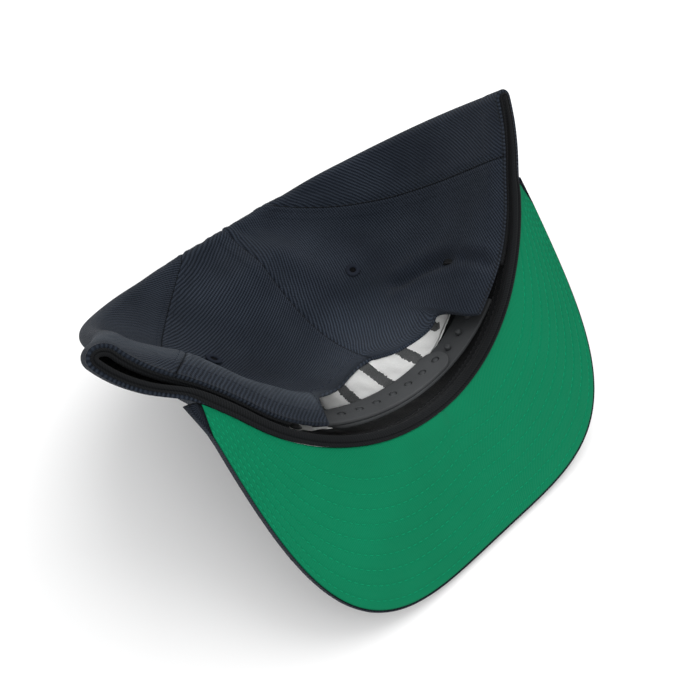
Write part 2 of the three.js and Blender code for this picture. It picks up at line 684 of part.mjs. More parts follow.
// Cloth-covered button on the top centre
function buttonMesh(material) {
  const profile = [
    [0, 0],
    [BUTTON_RADIUS - 0.4, 0],
    [BUTTON_RADIUS, 0.35 * BUTTON_HEIGHT],
    [0.8 * BUTTON_RADIUS, 0.78 * BUTTON_HEIGHT],
    [0.4 * BUTTON_RADIUS, 0.96 * BUTTON_HEIGHT],
    [0, BUTTON_HEIGHT],
  ].map(([r, z]) => new THREE.Vector2(r, z));
  const mesh = new THREE.Mesh(new THREE.LatheGeometry(profile, 20), material);
  const seat = new THREE.Vector3(0, APEX_FORWARD, CROWN_HEIGHT + CLOTH / 2 + PIECE_GAP);
  mesh.position.copy(onFloorFrame(seat));
  const up = tipOver(new THREE.Vector3(0, 0, 1), TILT);
  mesh.quaternion.setFromUnitVectors(new THREE.Vector3(0, 1, 0), up);
  return mesh;
}

const NAVY = { color: 0x232a36, roughness: 0.95, metalness: 0 };
const materials = {
  twill: () => new THREE.MeshStandardMaterial(NAVY),
  green: () => new THREE.MeshStandardMaterial({ color: 0x058a5c, roughness: 0.9, metalness: 0 }),
  black: () => new THREE.MeshStandardMaterial({ color: 0x17191c, roughness: 0.95, metalness: 0 }),
  white: () => new THREE.MeshStandardMaterial({ color: 0xf0f1f0, roughness: 0.95, metalness: 0 }),
  plastic: () => new THREE.MeshStandardMaterial({ color: 0x3d4042, roughness: 0.55, metalness: 0 }),
};

const cap = new THREE.Group();
function add(name, geometry, material) {
  const mesh = new THREE.Mesh(geometry, material);
  mesh.name = name;
  cap.add(mesh);
}

for (const [sideName, side] of [['right', 1], ['left', -1]]) {
  const front = { from: 'front', to: 'side', side };
  const flank = { from: 'side', to: 'rear', side };
  const back = { from: 'rear', to: 'back', side };
  add(`panel_front_${sideName}`, panelByRows(front, 8, FRONT_ROWS), materials.twill());
  add(`panel_side_${sideName}`, panelByRows(flank, 15, PANEL_ROWS), materials.twill());
  add(`panel_back_${sideName}`, panelByLines(back, 5, PANEL_ROWS), materials.twill());
}
for (const [place, spot] of Object.entries(EYELETS)) {
  add(`eyelet_${place}`, eyeletGeometry(spot), materials.twill());
}
add('peak_top', peakGeometry(peakTopProfile, 0), materials.twill());
add('peak_underside', peakGeometry(peakLiningProfile, 1), materials.green());
add('sweatband', sweatbandGeometry(), materials.black());
add('front_backing', backingGeometry(), materials.white());
add('strap_with_holes', holeStrapGeometry(), materials.plastic());
add('strap_with_pegs', pegStrapGeometry(), materials.plastic());
const button = buttonMesh(materials.twill());
button.name = 'button';
cap.add(button);

// The origin is the middle of the bounding box at floor level
cap.updateMatrixWorld(true);
const box = new THREE.Box3().setFromObject(cap, true);
cap.position.set(-(box.min.x + box.max.x) / 2, -(box.min.y + box.max.y) / 2, -box.min.z);

export default cap;
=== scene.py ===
# A flat-peak cap lying upside down with its back half pushed in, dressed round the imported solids.
# Sizes are in millimetres in the cap's own frame: x to the wearer's right, y to the front and z from
# the rim to the top of the crown. Angles run from the front centre towards the wearer's right.
import math
import bpy
import numpy as np
from mathutils import Matrix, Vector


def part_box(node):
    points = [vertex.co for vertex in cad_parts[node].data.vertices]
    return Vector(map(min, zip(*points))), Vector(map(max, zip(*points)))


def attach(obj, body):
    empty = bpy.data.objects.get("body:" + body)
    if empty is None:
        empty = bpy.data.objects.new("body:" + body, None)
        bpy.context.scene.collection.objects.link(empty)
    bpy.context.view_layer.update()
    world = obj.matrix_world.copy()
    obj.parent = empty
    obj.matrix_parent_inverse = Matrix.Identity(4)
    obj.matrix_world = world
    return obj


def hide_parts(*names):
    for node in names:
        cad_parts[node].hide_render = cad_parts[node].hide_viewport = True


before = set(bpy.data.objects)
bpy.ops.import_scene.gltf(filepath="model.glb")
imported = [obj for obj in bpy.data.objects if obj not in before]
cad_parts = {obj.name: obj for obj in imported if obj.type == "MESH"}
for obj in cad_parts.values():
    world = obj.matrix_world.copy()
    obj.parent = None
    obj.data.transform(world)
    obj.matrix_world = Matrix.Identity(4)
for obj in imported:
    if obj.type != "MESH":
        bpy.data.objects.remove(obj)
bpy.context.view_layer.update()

MM = 0.001
RNG = np.random.default_rng(7)

# Sizes that the solids use too
CLOTH = 1.5
HEAD_RADIUS = 95.0
CROWN_HEIGHT = 105.0
APEX_FORWARD = 19.0
APEX_HOLE = 5.0
PLAN_FULLNESS = 2.6
PROFILE_FULLNESS = 2.7
FOLD_RADIUS = 2.9
TIP_LOOP = 2.2
CENTRE_GAP = 12.0
LEAN = 0.57
LEAN_DEPTH = 12.0
ROLL_DEPTH = 4.5
ROLL_HEIGHT = 17.0
ROLL_FADE = 0.6
BACK_RAISE = 1.5
GAP_EASE = 40.0
LEAN_EASE = 30.0
LEFT_TIP_DROP = 1.0
TIP_FLARE = 11.0
FLARE_START = 45.0
FLARE_LENGTH = 56.0
FLARE_HEIGHT = 11.0
OPENING_HEIGHT = 39.0
PEAK_HALF_WIDTH = 89.0
PEAK_ASIDE = -1.2
PEAK_LENGTH = 62.0
PEAK_ROOT = 37.0
PEAK_SQUARENESS = 3.9
PEAK_ARCH = 2.5
PEAK_END_ANGLE = 66.0
PEAK_SEAT_GAP = 0.6
PEAK_TOP = 3.6
PEAK_LINING = 0.9
PEAK_EDGE = 1.4
PIECE_GAP = 0.3
PEAK_THICKNESS = PEAK_LINING + PIECE_GAP + PEAK_TOP
EDGE_LIP = 1.0
BAND_HEIGHT = 32.0
BAND_CLOTH = 1.0
BAND_END = 137.0
LAYER_GAP = 0.85
BACKING_CLOTH = 0.8
BACKING_ANGLE = 52.0
BACKING_TOP = 92.0
STRAP_WIDTH = 14.2
STRAP_THICKNESS = 1.5
STRAP_RADIUS = HEAD_RADIUS - 0.65
STRAP_CENTRE = -7.25
STRAP_LEAN = 0.31
STRAP_RAISE = 3.6
STRAP_TUCK = 6.0
STRAP_PITCH = 5.3
HOLE_COUNT = 7
FIRST_HOLE = 9.0
PEG_COUNT = 10
PEGS_PAST_END = 3
HOLE_RADIUS = 1.75
PEG_RADIUS = 1.3
STRAP_FREE_END = 12.1
STRAP_RIGHT_LEG = 25.0
STRAP_LEFT_LEG = -27.0
BUTTON_RADIUS = 6.5
BUTTON_HEIGHT = 3.4
PRESS = 2.0
PRESS_BAND = 2.5

# Mesh density of the scene's own pieces: cell in mm, then stations
CELL = 0.85
BAND_STATIONS = 600
PEAK_STATIONS = 230
PANEL_SPAN = 100.0
PANEL_CLIMB = 150.0

# Sewn relief of the panels: how deep or high, then how wide
STITCH_INSET = 2.6
HEM_STITCH = 7.0
SEAM_GROOVE, SEAM_GROOVE_WIDTH = 0.6, 0.7
SEAM_RAISE, SEAM_REACH = 0.22, 6.6
SEAM_DIMPLE, SEAM_DIMPLE_WIDTH = 0.14, 0.5
HEM_RAISE, HEM_REACH = 0.25, 9.0
HEM_DIMPLE, HEM_DIMPLE_WIDTH = 0.15, 0.6
RIM_RAISE, RIM_REACH = 0.2, 11.0
RAISE_EASE = 1.2

# Rim: deg, right, left, gap right, gap left, lean, roll, as in the solids
RIM = np.array([
    (0, 1.04, 1.04, 1, 1, 1, 0),
    (15, 1.03, 1.037, 0.98, 0.99, 1, 0),
    (30, 1.01, 1.02, 0.93, 0.75, 1, 0.45),
    (45, 0.99, 1, 0.7, 0.63, 0.75, 1),
    (60, 0.983, 0.981, 0.58, 0.63, 0.4, 1),
    (68, 0.99, 0.99, 0.57, 0.66, 0.3, 1),
    (76, 1.015, 1.05, 0.57, 0.88, 0.25, 1),
    (83, 1.04, 1.088, 0.58, 1, 0.22, 0.95),
    (90, 1.06, 1.107, 0.6, 0.88, 0.2, 0.9),
])
RIGHT, LEFT, GAP_RIGHT, GAP_LEFT, LEAN_SHARE, ROLL_SHARE = range(1, 7)

# Seams: direction at the rim and at the top
SEAMS = {"front": (0, 0), "side": (60, 60), "rear": (107, 120), "back": (180, 180)}

# Rear opening's edge: share of the back panel from the centre seam, height right and left
OPENING = np.array([
    (0, 0.99, 0.99),
    (0.07, 0.76, 1),
    (0.14, 0.64, 0.91),
    (0.21, 0.53, 0.77),
    (0.27, 0.48, 0.65),
    (0.33, 0.53, 0.56),
    (0.35, 0, 0.53),
    (0.4, 0, 0.48),
    (0.43, 0, 0.31),
    (0.445, 0, 0),
])


def smooth(value):
    s = np.clip(value, 0, 1)
    return s * s * (3 - 2 * s)


def mix(a, b, s):
    return a + (b - a) * s


def bump(value, width):
    return np.exp(-((value / width) ** 2))


def read_rows(column, key):
    deg, values = RIM[:, 0], RIM[:, column]
    last = len(deg) - 1
    i = np.clip(np.searchsorted(deg[1:last], key, side="left"), 0, last - 1)
    slope = np.zeros(last + 1)
    slope[1:last] = (values[2:] - values[:-2]) / (deg[2:] - deg[:-2])
    span = deg[i + 1] - deg[i]
    s = np.clip((key - deg[i]) / span, 0, 1)
    s2, s3 = s * s, s ** 3
    return ((2 * s3 - 3 * s2 + 1) * values[i] + (s3 - 2 * s2 + s) * span * slope[i]
            + (3 * s2 - 2 * s3) * values[i + 1] + (s3 - s2) * span * slope[i + 1])


def rim_radius(angle):
    turned = np.abs((angle + 540) % 360 - 180)
    facing = np.where(turned > 90, 180 - turned, turned)
    right = np.sin(np.radians(angle)) >= 0
    return HEAD_RADIUS * np.where(right, read_rows(RIGHT, facing), read_rows(LEFT, facing))


def dome(angle, rise):
    angle, rise = np.broadcast_arrays(np.asarray(angle, float), np.asarray(rise, float))
    radius = rim_radius(angle) - CLOTH / 2
    quarter = np.pi / 2 * np.clip(rise, 0, 1)
    plan = np.maximum(0, np.cos(quarter)) ** (2 / PLAN_FULLNESS)
    height = np.sin(quarter) ** (2 / PROFILE_FULLNESS)
    x = radius * np.sin(np.radians(angle)) * plan
    y = radius * np.cos(np.radians(angle)) * plan + APEX_FORWARD * (1 - plan)
    return x, y, CROWN_HEIGHT * height


def rise_at(height):
    share = np.clip(height / CROWN_HEIGHT, 0, 1)
    return 2 / np.pi * np.arcsin(share ** (PROFILE_FULLNESS / 2))


def nest_depth(x, y, z):
    facing = np.degrees(np.abs(np.arctan2(x, np.abs(y))))
    gap = np.where(x >= 0, read_rows(GAP_RIGHT, facing), read_rows(GAP_LEFT, facing))
    most = LEAN_DEPTH * read_rows(LEAN_SHARE, facing)
    lean = most * np.tanh(LEAN * z / most)
    u = z / ROLL_HEIGHT
    crest = np.where(u < 1, np.sin(np.pi / 2 * np.clip(u, 0, 1)), bump(u - 1, ROLL_FADE))
    roll = np.where(x < 0, ROLL_DEPTH * read_rows(ROLL_SHARE, facing) * crest, 0)
    return CENTRE_GAP * gap - CLOTH, lean + roll


def fold_in(x, y, z):
    low = 1 - z / CROWN_HEIGHT
    radius = FOLD_RADIUS + TIP_LOOP * smooth(-x / HEAD_RADIUS) * low * low
    turn = np.clip(y / radius, -np.pi / 2, np.pi / 2)
    past = np.maximum(0, np.abs(y) - np.pi / 2 * radius)
    along = radius * (np.pi / 2 - np.cos(turn)) + past
    inward = np.stack([-x, -along, -z * HEAD_RADIUS ** 2 / CROWN_HEIGHT ** 2], -1)
    inward /= np.linalg.norm(inward, axis=-1, keepdims=True)
    rim, lean = nest_depth(x, y, z)
    behind = (rim - 2 * radius) * smooth(-y / GAP_EASE) + lean * smooth(-y / LEAN_EASE)
    depth = radius * (1 - np.sin(turn)) + np.where(y < 0, behind, 0)
    raised = z + BACK_RAISE * smooth(-y / GAP_EASE)
    return np.stack([x, along, raised], -1) + inward * depth[..., None]


def arch(point):
    x, z = point[..., 0], point[..., 2]
    low = np.clip(1 - z / CROWN_HEIGHT, 0, 1)
    tip = smooth((-x - PEAK_HALF_WIDTH) / (0.2 * PEAK_HALF_WIDTH))
    z = z - (PEAK_ARCH * (x / PEAK_HALF_WIDTH) ** 2 + LEFT_TIP_DROP * tip) * low
    left = smooth((-x - FLARE_START) / FLARE_START)
    behind = smooth((FLARE_LENGTH - point[..., 1]) / FLARE_LENGTH)
    flare = TIP_FLARE * left * behind * bump(np.maximum(0, z), FLARE_HEIGHT)
    return np.stack([x - flare, point[..., 1], z], -1)


def tip_over(point, tilt):
    c, s = math.cos(tilt), math.sin(tilt)
    x, y, z = point[..., 0], point[..., 1], point[..., 2]
    return np.stack([x, -y * c + z * s, -y * s - z * c], -1)


def peak_outline(turn):
    front = float(rim_radius(np.array(0.0))) + PEAK_LENGTH
    power = 2 / PEAK_SQUARENESS
    s, c = np.sin(np.radians(turn)), np.abs(np.cos(np.radians(turn)))
    x = PEAK_ASIDE + PEAK_HALF_WIDTH * np.sign(s) * np.abs(s) ** power
    return np.stack([x, PEAK_ROOT + (front - PEAK_ROOT) * c ** power], -1)


def peak_inner(angle):
    radius = rim_radius(angle) + PEAK_SEAT_GAP
    return np.stack([radius * np.sin(np.radians(angle)), radius * np.cos(np.radians(angle))], -1)


def with_z(plan, z):
    return np.concatenate([plan, np.broadcast_to(z, plan.shape[:-1])[..., None]], -1)


def lowest_of_peak(tilt):
    plan = peak_outline(np.arange(-90.0, 91.0, 3.0))
    heights = (PEAK_LINING + PIECE_GAP, PEAK_THICKNESS - PEAK_EDGE)
    return min(tip_over(arch(with_z(plan, z)), tilt)[..., 2].min() for z in heights)


def lowest_of_crown(tilt):
    angle, rise = np.meshgrid(np.arange(-90.0, 91.0, 5.0), np.linspace(0, 1, 21))
    return tip_over(arch(np.stack(dome(angle, rise), -1)), tilt)[..., 2].min() - CLOTH / 2


def resting_tilt():
    low, high = 0.1 * math.pi, 0.4 * math.pi
    for _ in range(40):
        tilt = (low + high) / 2
        if lowest_of_peak(tilt) > lowest_of_crown(tilt) + PRESS:
            low = tilt
        else:
            high = tilt
    return (low + high) / 2


TILT = resting_tilt()
FLOOR = lowest_of_peak(TILT)

# Where the cap's frame stands in the row frame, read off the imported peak
PEAK_CAD = np.array(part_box("peak_top")) / MM
FRONT_EDGE = tip_over(arch(with_z(peak_outline(np.array([0.0])), PEAK_LINING + PIECE_GAP)), TILT)[0]
FRONT_TOP = tip_over(arch(with_z(peak_outline(np.array([0.0])), PEAK_THICKNESS - PEAK_EDGE)), TILT)[0]
SHIFT = np.array([
    PEAK_CAD[1][0] - PEAK_ASIDE - PEAK_HALF_WIDTH,
    PEAK_CAD[0][1] - min(FRONT_EDGE[1], FRONT_TOP[1]),
    PEAK_CAD[0][2] - min(FRONT_EDGE[2], FRONT_TOP[2]),
])


def to_row(point):
    return tip_over(point, TILT) + SHIFT


def crown(angle, rise):
    point = tip_over(arch(fold_in(*dome(angle, rise))), TILT)
    height = point[..., 2] - FLOOR
    sunk = CLOTH / 2 + PRESS_BAND - height
    pressed = CLOTH / 2 + PRESS_BAND * (1 - np.tanh(np.maximum(sunk, 0) / PRESS_BAND))
    point[..., 2] = FLOOR + np.where(sunk > 0, pressed, height)
    return point + SHIFT


def crown_normal(angle, rise):
    da, dr = 0.05, 0.0005
    low = np.maximum(0, rise - dr)
    across = crown(angle + da, rise) - crown(angle - da, rise)
    up = crown(angle, low + 2 * dr) - crown(angle, low)
    normal = np.cross(up, across)
    return normal / np.linalg.norm(normal, axis=-1, keepdims=True)


# Meshes
def new_object(name, vertices, faces, uv=None, smooth_faces=True):
    """faces is a list of index arrays with 3 or 4 columns; uv is per vertex, in metres of cloth."""
    me = bpy.data.meshes.new(name)
    vertices = np.asarray(vertices, np.float64) * MM
    me.vertices.add(len(vertices))
    me.vertices.foreach_set("co", vertices.astype(np.float32).ravel())
    loops = np.concatenate([f.ravel() for f in faces])
    sizes = np.concatenate([np.full(len(f), f.shape[1]) for f in faces])
    me.loops.add(len(loops))
    me.loops.foreach_set("vertex_index", loops.astype(np.int32))
    me.polygons.add(len(sizes))
    me.polygons.foreach_set("loop_start", np.concatenate([[0], np.cumsum(sizes)[:-1]]).astype(np.int32))
    me.update(calc_edges=True)
    if uv is not None:
        layer = me.uv_layers.new(name="Cloth")
        layer.uv.foreach_set("vector", np.asarray(uv, np.float32)[loops].ravel())
    me.polygons.foreach_set("use_smooth", np.full(len(sizes), smooth_faces))
    me.validate()
    ob = bpy.data.objects.new(name, me)
    bpy.context.scene.collection.objects.link(ob)
    return ob


def grid_faces(rows, columns, start=0, flip=False, wrap=False):
    i, j = np.meshgrid(np.arange(rows - 1), np.arange(columns if wrap else columns - 1), indexing="ij")
    k = (j + 1) % columns
    a, b = start + i * columns + j, start + i * columns + k
    c, d = start + (i + 1) * columns + k, start + (i + 1) * columns + j
    quads = np.stack([a, b, c, d], -1).reshape(-1, 4)
    return quads[:, ::-1] if flip else quads


def volume_of(vertices, faces):
    total = 0.0
    for f in faces:
        for k in range(1, f.shape[1] - 1):
            a, b, c = vertices[f[:, 0]], vertices[f[:, k]], vertices[f[:, k + 1]]
            total += float(np.einsum("ij,ij->i", a, np.cross(b, c)).sum()) / 6
    return total


def closed_object(name, vertices, faces, uv=None):
    centred = vertices - vertices.mean(0)
    if volume_of(centred, faces) < 0:
        faces = [f[:, ::-1] for f in faces]
    return new_object(name, vertices, faces, uv)


def loft_faces(stations, count, start=0):
    """Faces of a closed form with a loop of count points at each station and a flat cap at each end."""
    fan = np.arange(1, count - 1)
    corner = np.zeros(count - 2, int)
    last = start + (stations - 1) * count
    first_cap = start + np.stack([corner, fan + 1, fan], -1)
    last_cap = last + np.stack([corner, fan, fan + 1], -1)
    return [grid_faces(stations, count, start, wrap=True), first_cap, last_cap]


def loft_object(name, loops, flat=None):
    stations, count = loops.shape[:2]
    if flat is None:
        flat = np.zeros((stations * count, 2))
    return closed_object(name, loops.reshape(-1, 3), loft_faces(stations, count), flat)


def ring_faces(sides, tube, start=0):
    """Faces of a ring that is closed both ways, with tube points at each of its sides."""
    i, j = np.meshgrid(np.arange(sides), np.arange(tube), indexing="ij")
    k, l = (i + 1) % sides, (j + 1) % tube
    return start + np.stack([i * tube + j, k * tube + j, k * tube + l, i * tube + l], -1).reshape(-1, 4)


def sheet_object(name, middle, normal, outer, inner, cloth, bulge=0.5):
    """A cloth sheet round a grid of middle points: outer and inner are offsets along the normal,
    cloth holds each point's flat coordinates in metres, and its four edges are rounded."""
    rows, columns = middle.shape[:2]
    outer = np.broadcast_to(outer, (rows, columns))
    inner = np.broadcast_to(inner, (rows, columns))
    top = middle + normal * outer[..., None]
    under = middle + normal * inner[..., None]
    ring = ([(0, j) for j in range(columns)] + [(i, columns - 1) for i in range(1, rows)]
            + [(rows - 1, j) for j in range(columns - 2, -1, -1)] + [(i, 0) for i in range(rows - 2, 0, -1)])
    ri, rj = np.array([r[0] for r in ring]), np.array([r[1] for r in ring])
    ni, nj = np.clip(ri, 1, rows - 2), np.clip(rj, 1, columns - 2)
    out = middle[ri, rj] - middle[ni, nj]
    out -= normal[ri, rj] * np.einsum("ij,ij->i", out, normal[ri, rj])[:, None]
    out /= np.maximum(np.linalg.norm(out, axis=1, keepdims=True), 1e-9)
    half = (outer[ri, rj] - inner[ri, rj]) / 2
    centre = (top[ri, rj] + under[ri, rj]) / 2
    count = rows * columns
    parts, flat = [top.reshape(-1, 3), under.reshape(-1, 3)], [cloth.reshape(-1, 2)] * 2
    rings = []
    index = ri * columns + rj
    rings.append(index)
    for turn in (45, 90, 135):
        c, s = math.cos(math.radians(turn)), math.sin(math.radians(turn))
        ring_points = centre + normal[ri, rj] * (half * c)[:, None] + out * (half * s * bulge)[:, None]
        rings.append(2 * count + (len(rings) - 1) * len(ring) + np.arange(len(ring)))
        parts.append(ring_points)
        flat.append(cloth[ri, rj])
    rings.append(count + index)
    faces = [grid_faces(rows, columns), grid_faces(rows, columns, count, flip=True)]
    for a, b in zip(rings[:-1], rings[1:]):
        faces.append(np.stack([a, b, np.roll(b, -1), np.roll(a, -1)], -1)[:, ::-1])
    return closed_object(name, np.concatenate(parts), faces, np.concatenate(flat))


def arc_length(points, axis):
    step = np.linalg.norm(np.diff(points, axis=axis), axis=-1)
    zero = np.zeros_like(np.take(step, [0], axis=axis))
    return np.concatenate([zero, np.cumsum(step, axis=axis)], axis=axis)


# Panels
TOP_RISE = 2 / np.pi * np.arccos((APEX_HOLE / HEAD_RADIUS) ** (PLAN_FULLNESS / 2))
SEAM_HALF_GAP = 0.12


def seam_angle(seam, rise):
    return mix(SEAMS[seam][0], SEAMS[seam][1], rise)


def panel_angle(start, end, side, across, rise):
    radius = HEAD_RADIUS * np.cos(np.pi / 2 * rise) ** (2 / PLAN_FULLNESS)
    inset = np.degrees(SEAM_HALF_GAP / np.maximum(APEX_HOLE, radius))
    return side * mix(seam_angle(start, rise) + inset, seam_angle(end, rise) - inset, across)


def even_stations(count, angle_rise_at, fold_weight=4.0):
    """Stations from 0 to 1, even along the crown and closer at the fold."""
    s = np.linspace(0, 1, 400)
    angle, rise = angle_rise_at(s)
    step = np.linalg.norm(np.diff(crown(angle, rise), axis=0), axis=1)
    y = dome(angle, rise)[1]
    weight = 1 + fold_weight * bump(y, 2.4 * FOLD_RADIUS)
    total = np.concatenate([[0], np.cumsum(step * (weight[1:] + weight[:-1]) / 2)])
    return np.interp(np.linspace(0, total[-1], count), total, s)


def opening_edge(side):
    """Edge of the rear opening as smooth points (across, height) from the leg to the centre seam."""
    column = 1 if side > 0 else 2
    points = np.stack([1 - OPENING[::-1, 0], OPENING[::-1, column] * OPENING_HEIGHT], -1)
    width = 115.0
    for _ in range(3):
        cut = [points[0]]
        for a, b in zip(points[:-1], points[1:]):
            cut += [mix(a, b, 0.25), mix(a, b, 0.75)]
        points = np.array(cut + [points[-1]])
    step = np.hypot(np.diff(points[:, 0]) * width, np.diff(points[:, 1]))
    length = np.concatenate([[0], np.cumsum(step)])
    even = np.linspace(0, length[-1], max(8, int(length[-1] / CELL)))
    return np.stack([np.interp(even, length, points[:, k]) for k in range(2)], -1)


# Creases pressed into the panels: points as (angle, rise), depth and half width in mm
CREASES = [
    ([(149, 0.33), (145.5, 0.26), (140, 0.197), (137, 0.126), (135.5, 0.063)], 3.2, 3.8),
    ([(135.5, 0.08), (136.5, 0.018), (138.5, 0.0)], 2.0, 3.0),
    ([(-128, 0.45), (-134, 0.30), (-141, 0.20)], 0.8, 6.0),
    ([(126, 0.52), (119, 0.40), (112, 0.30)], 0.9, 7.0),
]


def crease_relief(points):
    total = np.zeros(points.shape[:-1])
    for path, depth, width in CREASES:
        keys = np.array(path, float)
        fine = np.linspace(0, len(keys) - 1, 40)
        line = np.stack([np.interp(fine, np.arange(len(keys)), keys[:, k]) for k in range(2)], -1)
        spots = crown(line[:, 0], line[:, 1])
        away = np.full(total.shape, 1e9)
        fade = np.zeros(total.shape)
        for t, spot in zip(fine / (len(keys) - 1), spots):
            d = np.linalg.norm(points - spot, axis=-1)
            closer = d < away
            fade = np.where(closer, smooth(np.minimum(t, 1 - t) * 4 + 0.1), fade)
            away = np.minimum(away, d)
        total -= depth * fade * (bump(away, width) - 0.35 * bump(away - 1.9 * width, width))
    return total


def panel_object(name, start, end, side):
    if end == "back":
        edge = opening_edge(side)
        plain = edge[0, 0]
        reach = crown(side * np.array([110.0, 160.0]), np.full(2, 0.2))
        count = int(np.linalg.norm(reach[0] - reach[1]) / CELL)
        across = np.concatenate([np.linspace(0, plain, count)[:-1], edge[:, 0]])
        low = np.concatenate([np.zeros(count - 1), rise_at(edge[:, 1])])
    else:
        def across_panel(s):
            return panel_angle(start, end, side, s, 0.25), 0.25 + 0 * s
        across = even_stations(int(PANEL_SPAN / CELL), across_panel)
        low = np.zeros(len(across))

    def up_panel(s):
        return panel_angle(start, end, side, 0.4, s * TOP_RISE), s * TOP_RISE
    climb = even_stations(int(PANEL_CLIMB / CELL), up_panel, 0.0)
    up, a = np.meshgrid(climb, across, indexing="ij")
    clear = rise_at(OPENING_HEIGHT + 8) / TOP_RISE
    squeezed = np.where(up < clear, mix(low[None, :], clear * TOP_RISE, up / clear), up * TOP_RISE)
    angle = panel_angle(start, end, side, a, squeezed)
    middle = crown(angle, squeezed)
    normal = crown_normal(angle, squeezed)
    along = arc_length(middle, 1)
    height = arc_length(middle, 0)
    full = along[:, -1:]
    outer = np.full(along.shape, CLOTH / 2)
    for seam_away in (along, full - along):
        outer -= SEAM_GROOVE * bump(seam_away, SEAM_GROOVE_WIDTH)
        outer += SEAM_RAISE * smooth((SEAM_REACH - seam_away) / RAISE_EASE)
        outer -= SEAM_DIMPLE * bump(seam_away - STITCH_INSET, SEAM_DIMPLE_WIDTH)
    if end == "back":
        outer += HEM_RAISE * smooth((HEM_REACH - height) / RAISE_EASE)
        outer -= HEM_DIMPLE * bump(height - HEM_STITCH, HEM_DIMPLE_WIDTH)
    else:
        outer += RIM_RAISE * smooth((RIM_REACH - height) / RAISE_EASE)
    relief = crease_relief(middle)
    wave = 0.16 * np.sin(angle * 0.21 + squeezed * 9) + 0.12 * np.sin(angle * 0.37 - squeezed * 15 + 2)
    wave = wave * smooth(height / 20)
    relief = relief + np.where(np.abs(angle) > 95, wave, 0.3 * wave)
    flat = np.stack([side * (along - full / 2), rise_length(squeezed)], -1) * MM
    return sheet_object(name, middle, normal, outer + relief, relief - CLOTH / 2, flat), dict(
        angle=angle, rise=squeezed, middle=middle, normal=normal, outer=outer + relief,
        along=along, full=full, height=height)


def rise_length(rise):
    s = np.linspace(0, 1, 200)
    _, y, z = dome(np.zeros(200), s)
    length = np.concatenate([[0], np.cumsum(np.hypot(np.diff(y), np.diff(z)))])
    return np.interp(rise, s, length)


# Stitches
def stitch_mesh(name, paths, pitch=2.6, length=1.9, radius=0.2, lift=0.1):
    """paths is a list of (points, normals) lines; each becomes a row of short threads."""
    vertices, quads, tris, uv = [], [], [], []
    sides, at = 6, 0
    rings = ((-0.5, 0.35), (-0.25, 0.9), (0.0, 1.0), (0.25, 0.9), (0.5, 0.35))
    for points, normals in paths:
        run = np.concatenate([[0], np.cumsum(np.linalg.norm(np.diff(points, axis=0), axis=1))])
        number = int(run[-1] / pitch)
        for k in range(number):
            mid = (k + 0.5) * run[-1] / number
            at_rings = [mid + s * length for s, _ in rings]
            spots = np.stack([np.interp(at_rings, run, points[:, c]) for c in range(3)], -1)
            n = np.array([np.interp(mid, run, normals[:, c]) for c in range(3)])
            t = spots[-1] - spots[0]
            t /= max(np.linalg.norm(t), 1e-9)
            n -= t * n.dot(t)
            n /= max(np.linalg.norm(n), 1e-9)
            b = np.cross(t, n)
            for (s, thick), spot in zip(rings, spots):
                centre = spot + n * (lift - radius * 1.4 * (2 * s) ** 2)
                for q in range(sides):
                    turn = 2 * math.pi * q / sides
                    vertices.append(centre + radius * thick * (b * math.cos(turn) + n * math.sin(turn)))
                    uv.append((s * 0.002, q * 0.0003))
            for i in range(len(rings) - 1):
                for q in range(sides):
                    r = (q + 1) % sides
                    a = at + i * sides
                    quads.append((a + q, a + r, a + sides + r, a + sides + q))
            last = at + (len(rings) - 1) * sides
            for q in range(1, sides - 1):
                tris.append((at, at + q + 1, at + q))
                tris.append((last, last + q, last + q + 1))
            at += len(rings) * sides
    return closed_object(name, np.array(vertices), [np.array(quads), np.array(tris)], np.array(uv))


def spot_on_panel(panel, where, key, away):
    """The outer face and its normal at a distance along one row or column of a panel."""
    middle, normal = (np.array([np.interp(away, key, panel[field][where][:, c]) for c in range(3)])
                      for field in ("middle", "normal"))
    return middle + normal * np.interp(away, key, panel["outer"][where]), normal


def panel_line(panel, away, from_end=False):
    """A line up a panel at a distance from one of its seams, on its outer face."""
    order = slice(None, None, -1 if from_end else 1)
    spots = []
    for i, along in enumerate(panel["along"]):
        key = (panel["full"][i] - along if from_end else along)[order]
        if key[-1] < 2.2 * away:
            break
        spots.append(spot_on_panel(panel, (i, order), key, away))
    return [np.array(part) for part in zip(*spots)]


def hem_line(panel, away):
    """A line along a panel's lower edge at a distance above it."""
    height = panel["height"]
    spots = [spot_on_panel(panel, (slice(None), j), height[:, j], away) for j in range(height.shape[1])]
    return [np.array(part) for part in zip(*spots)]


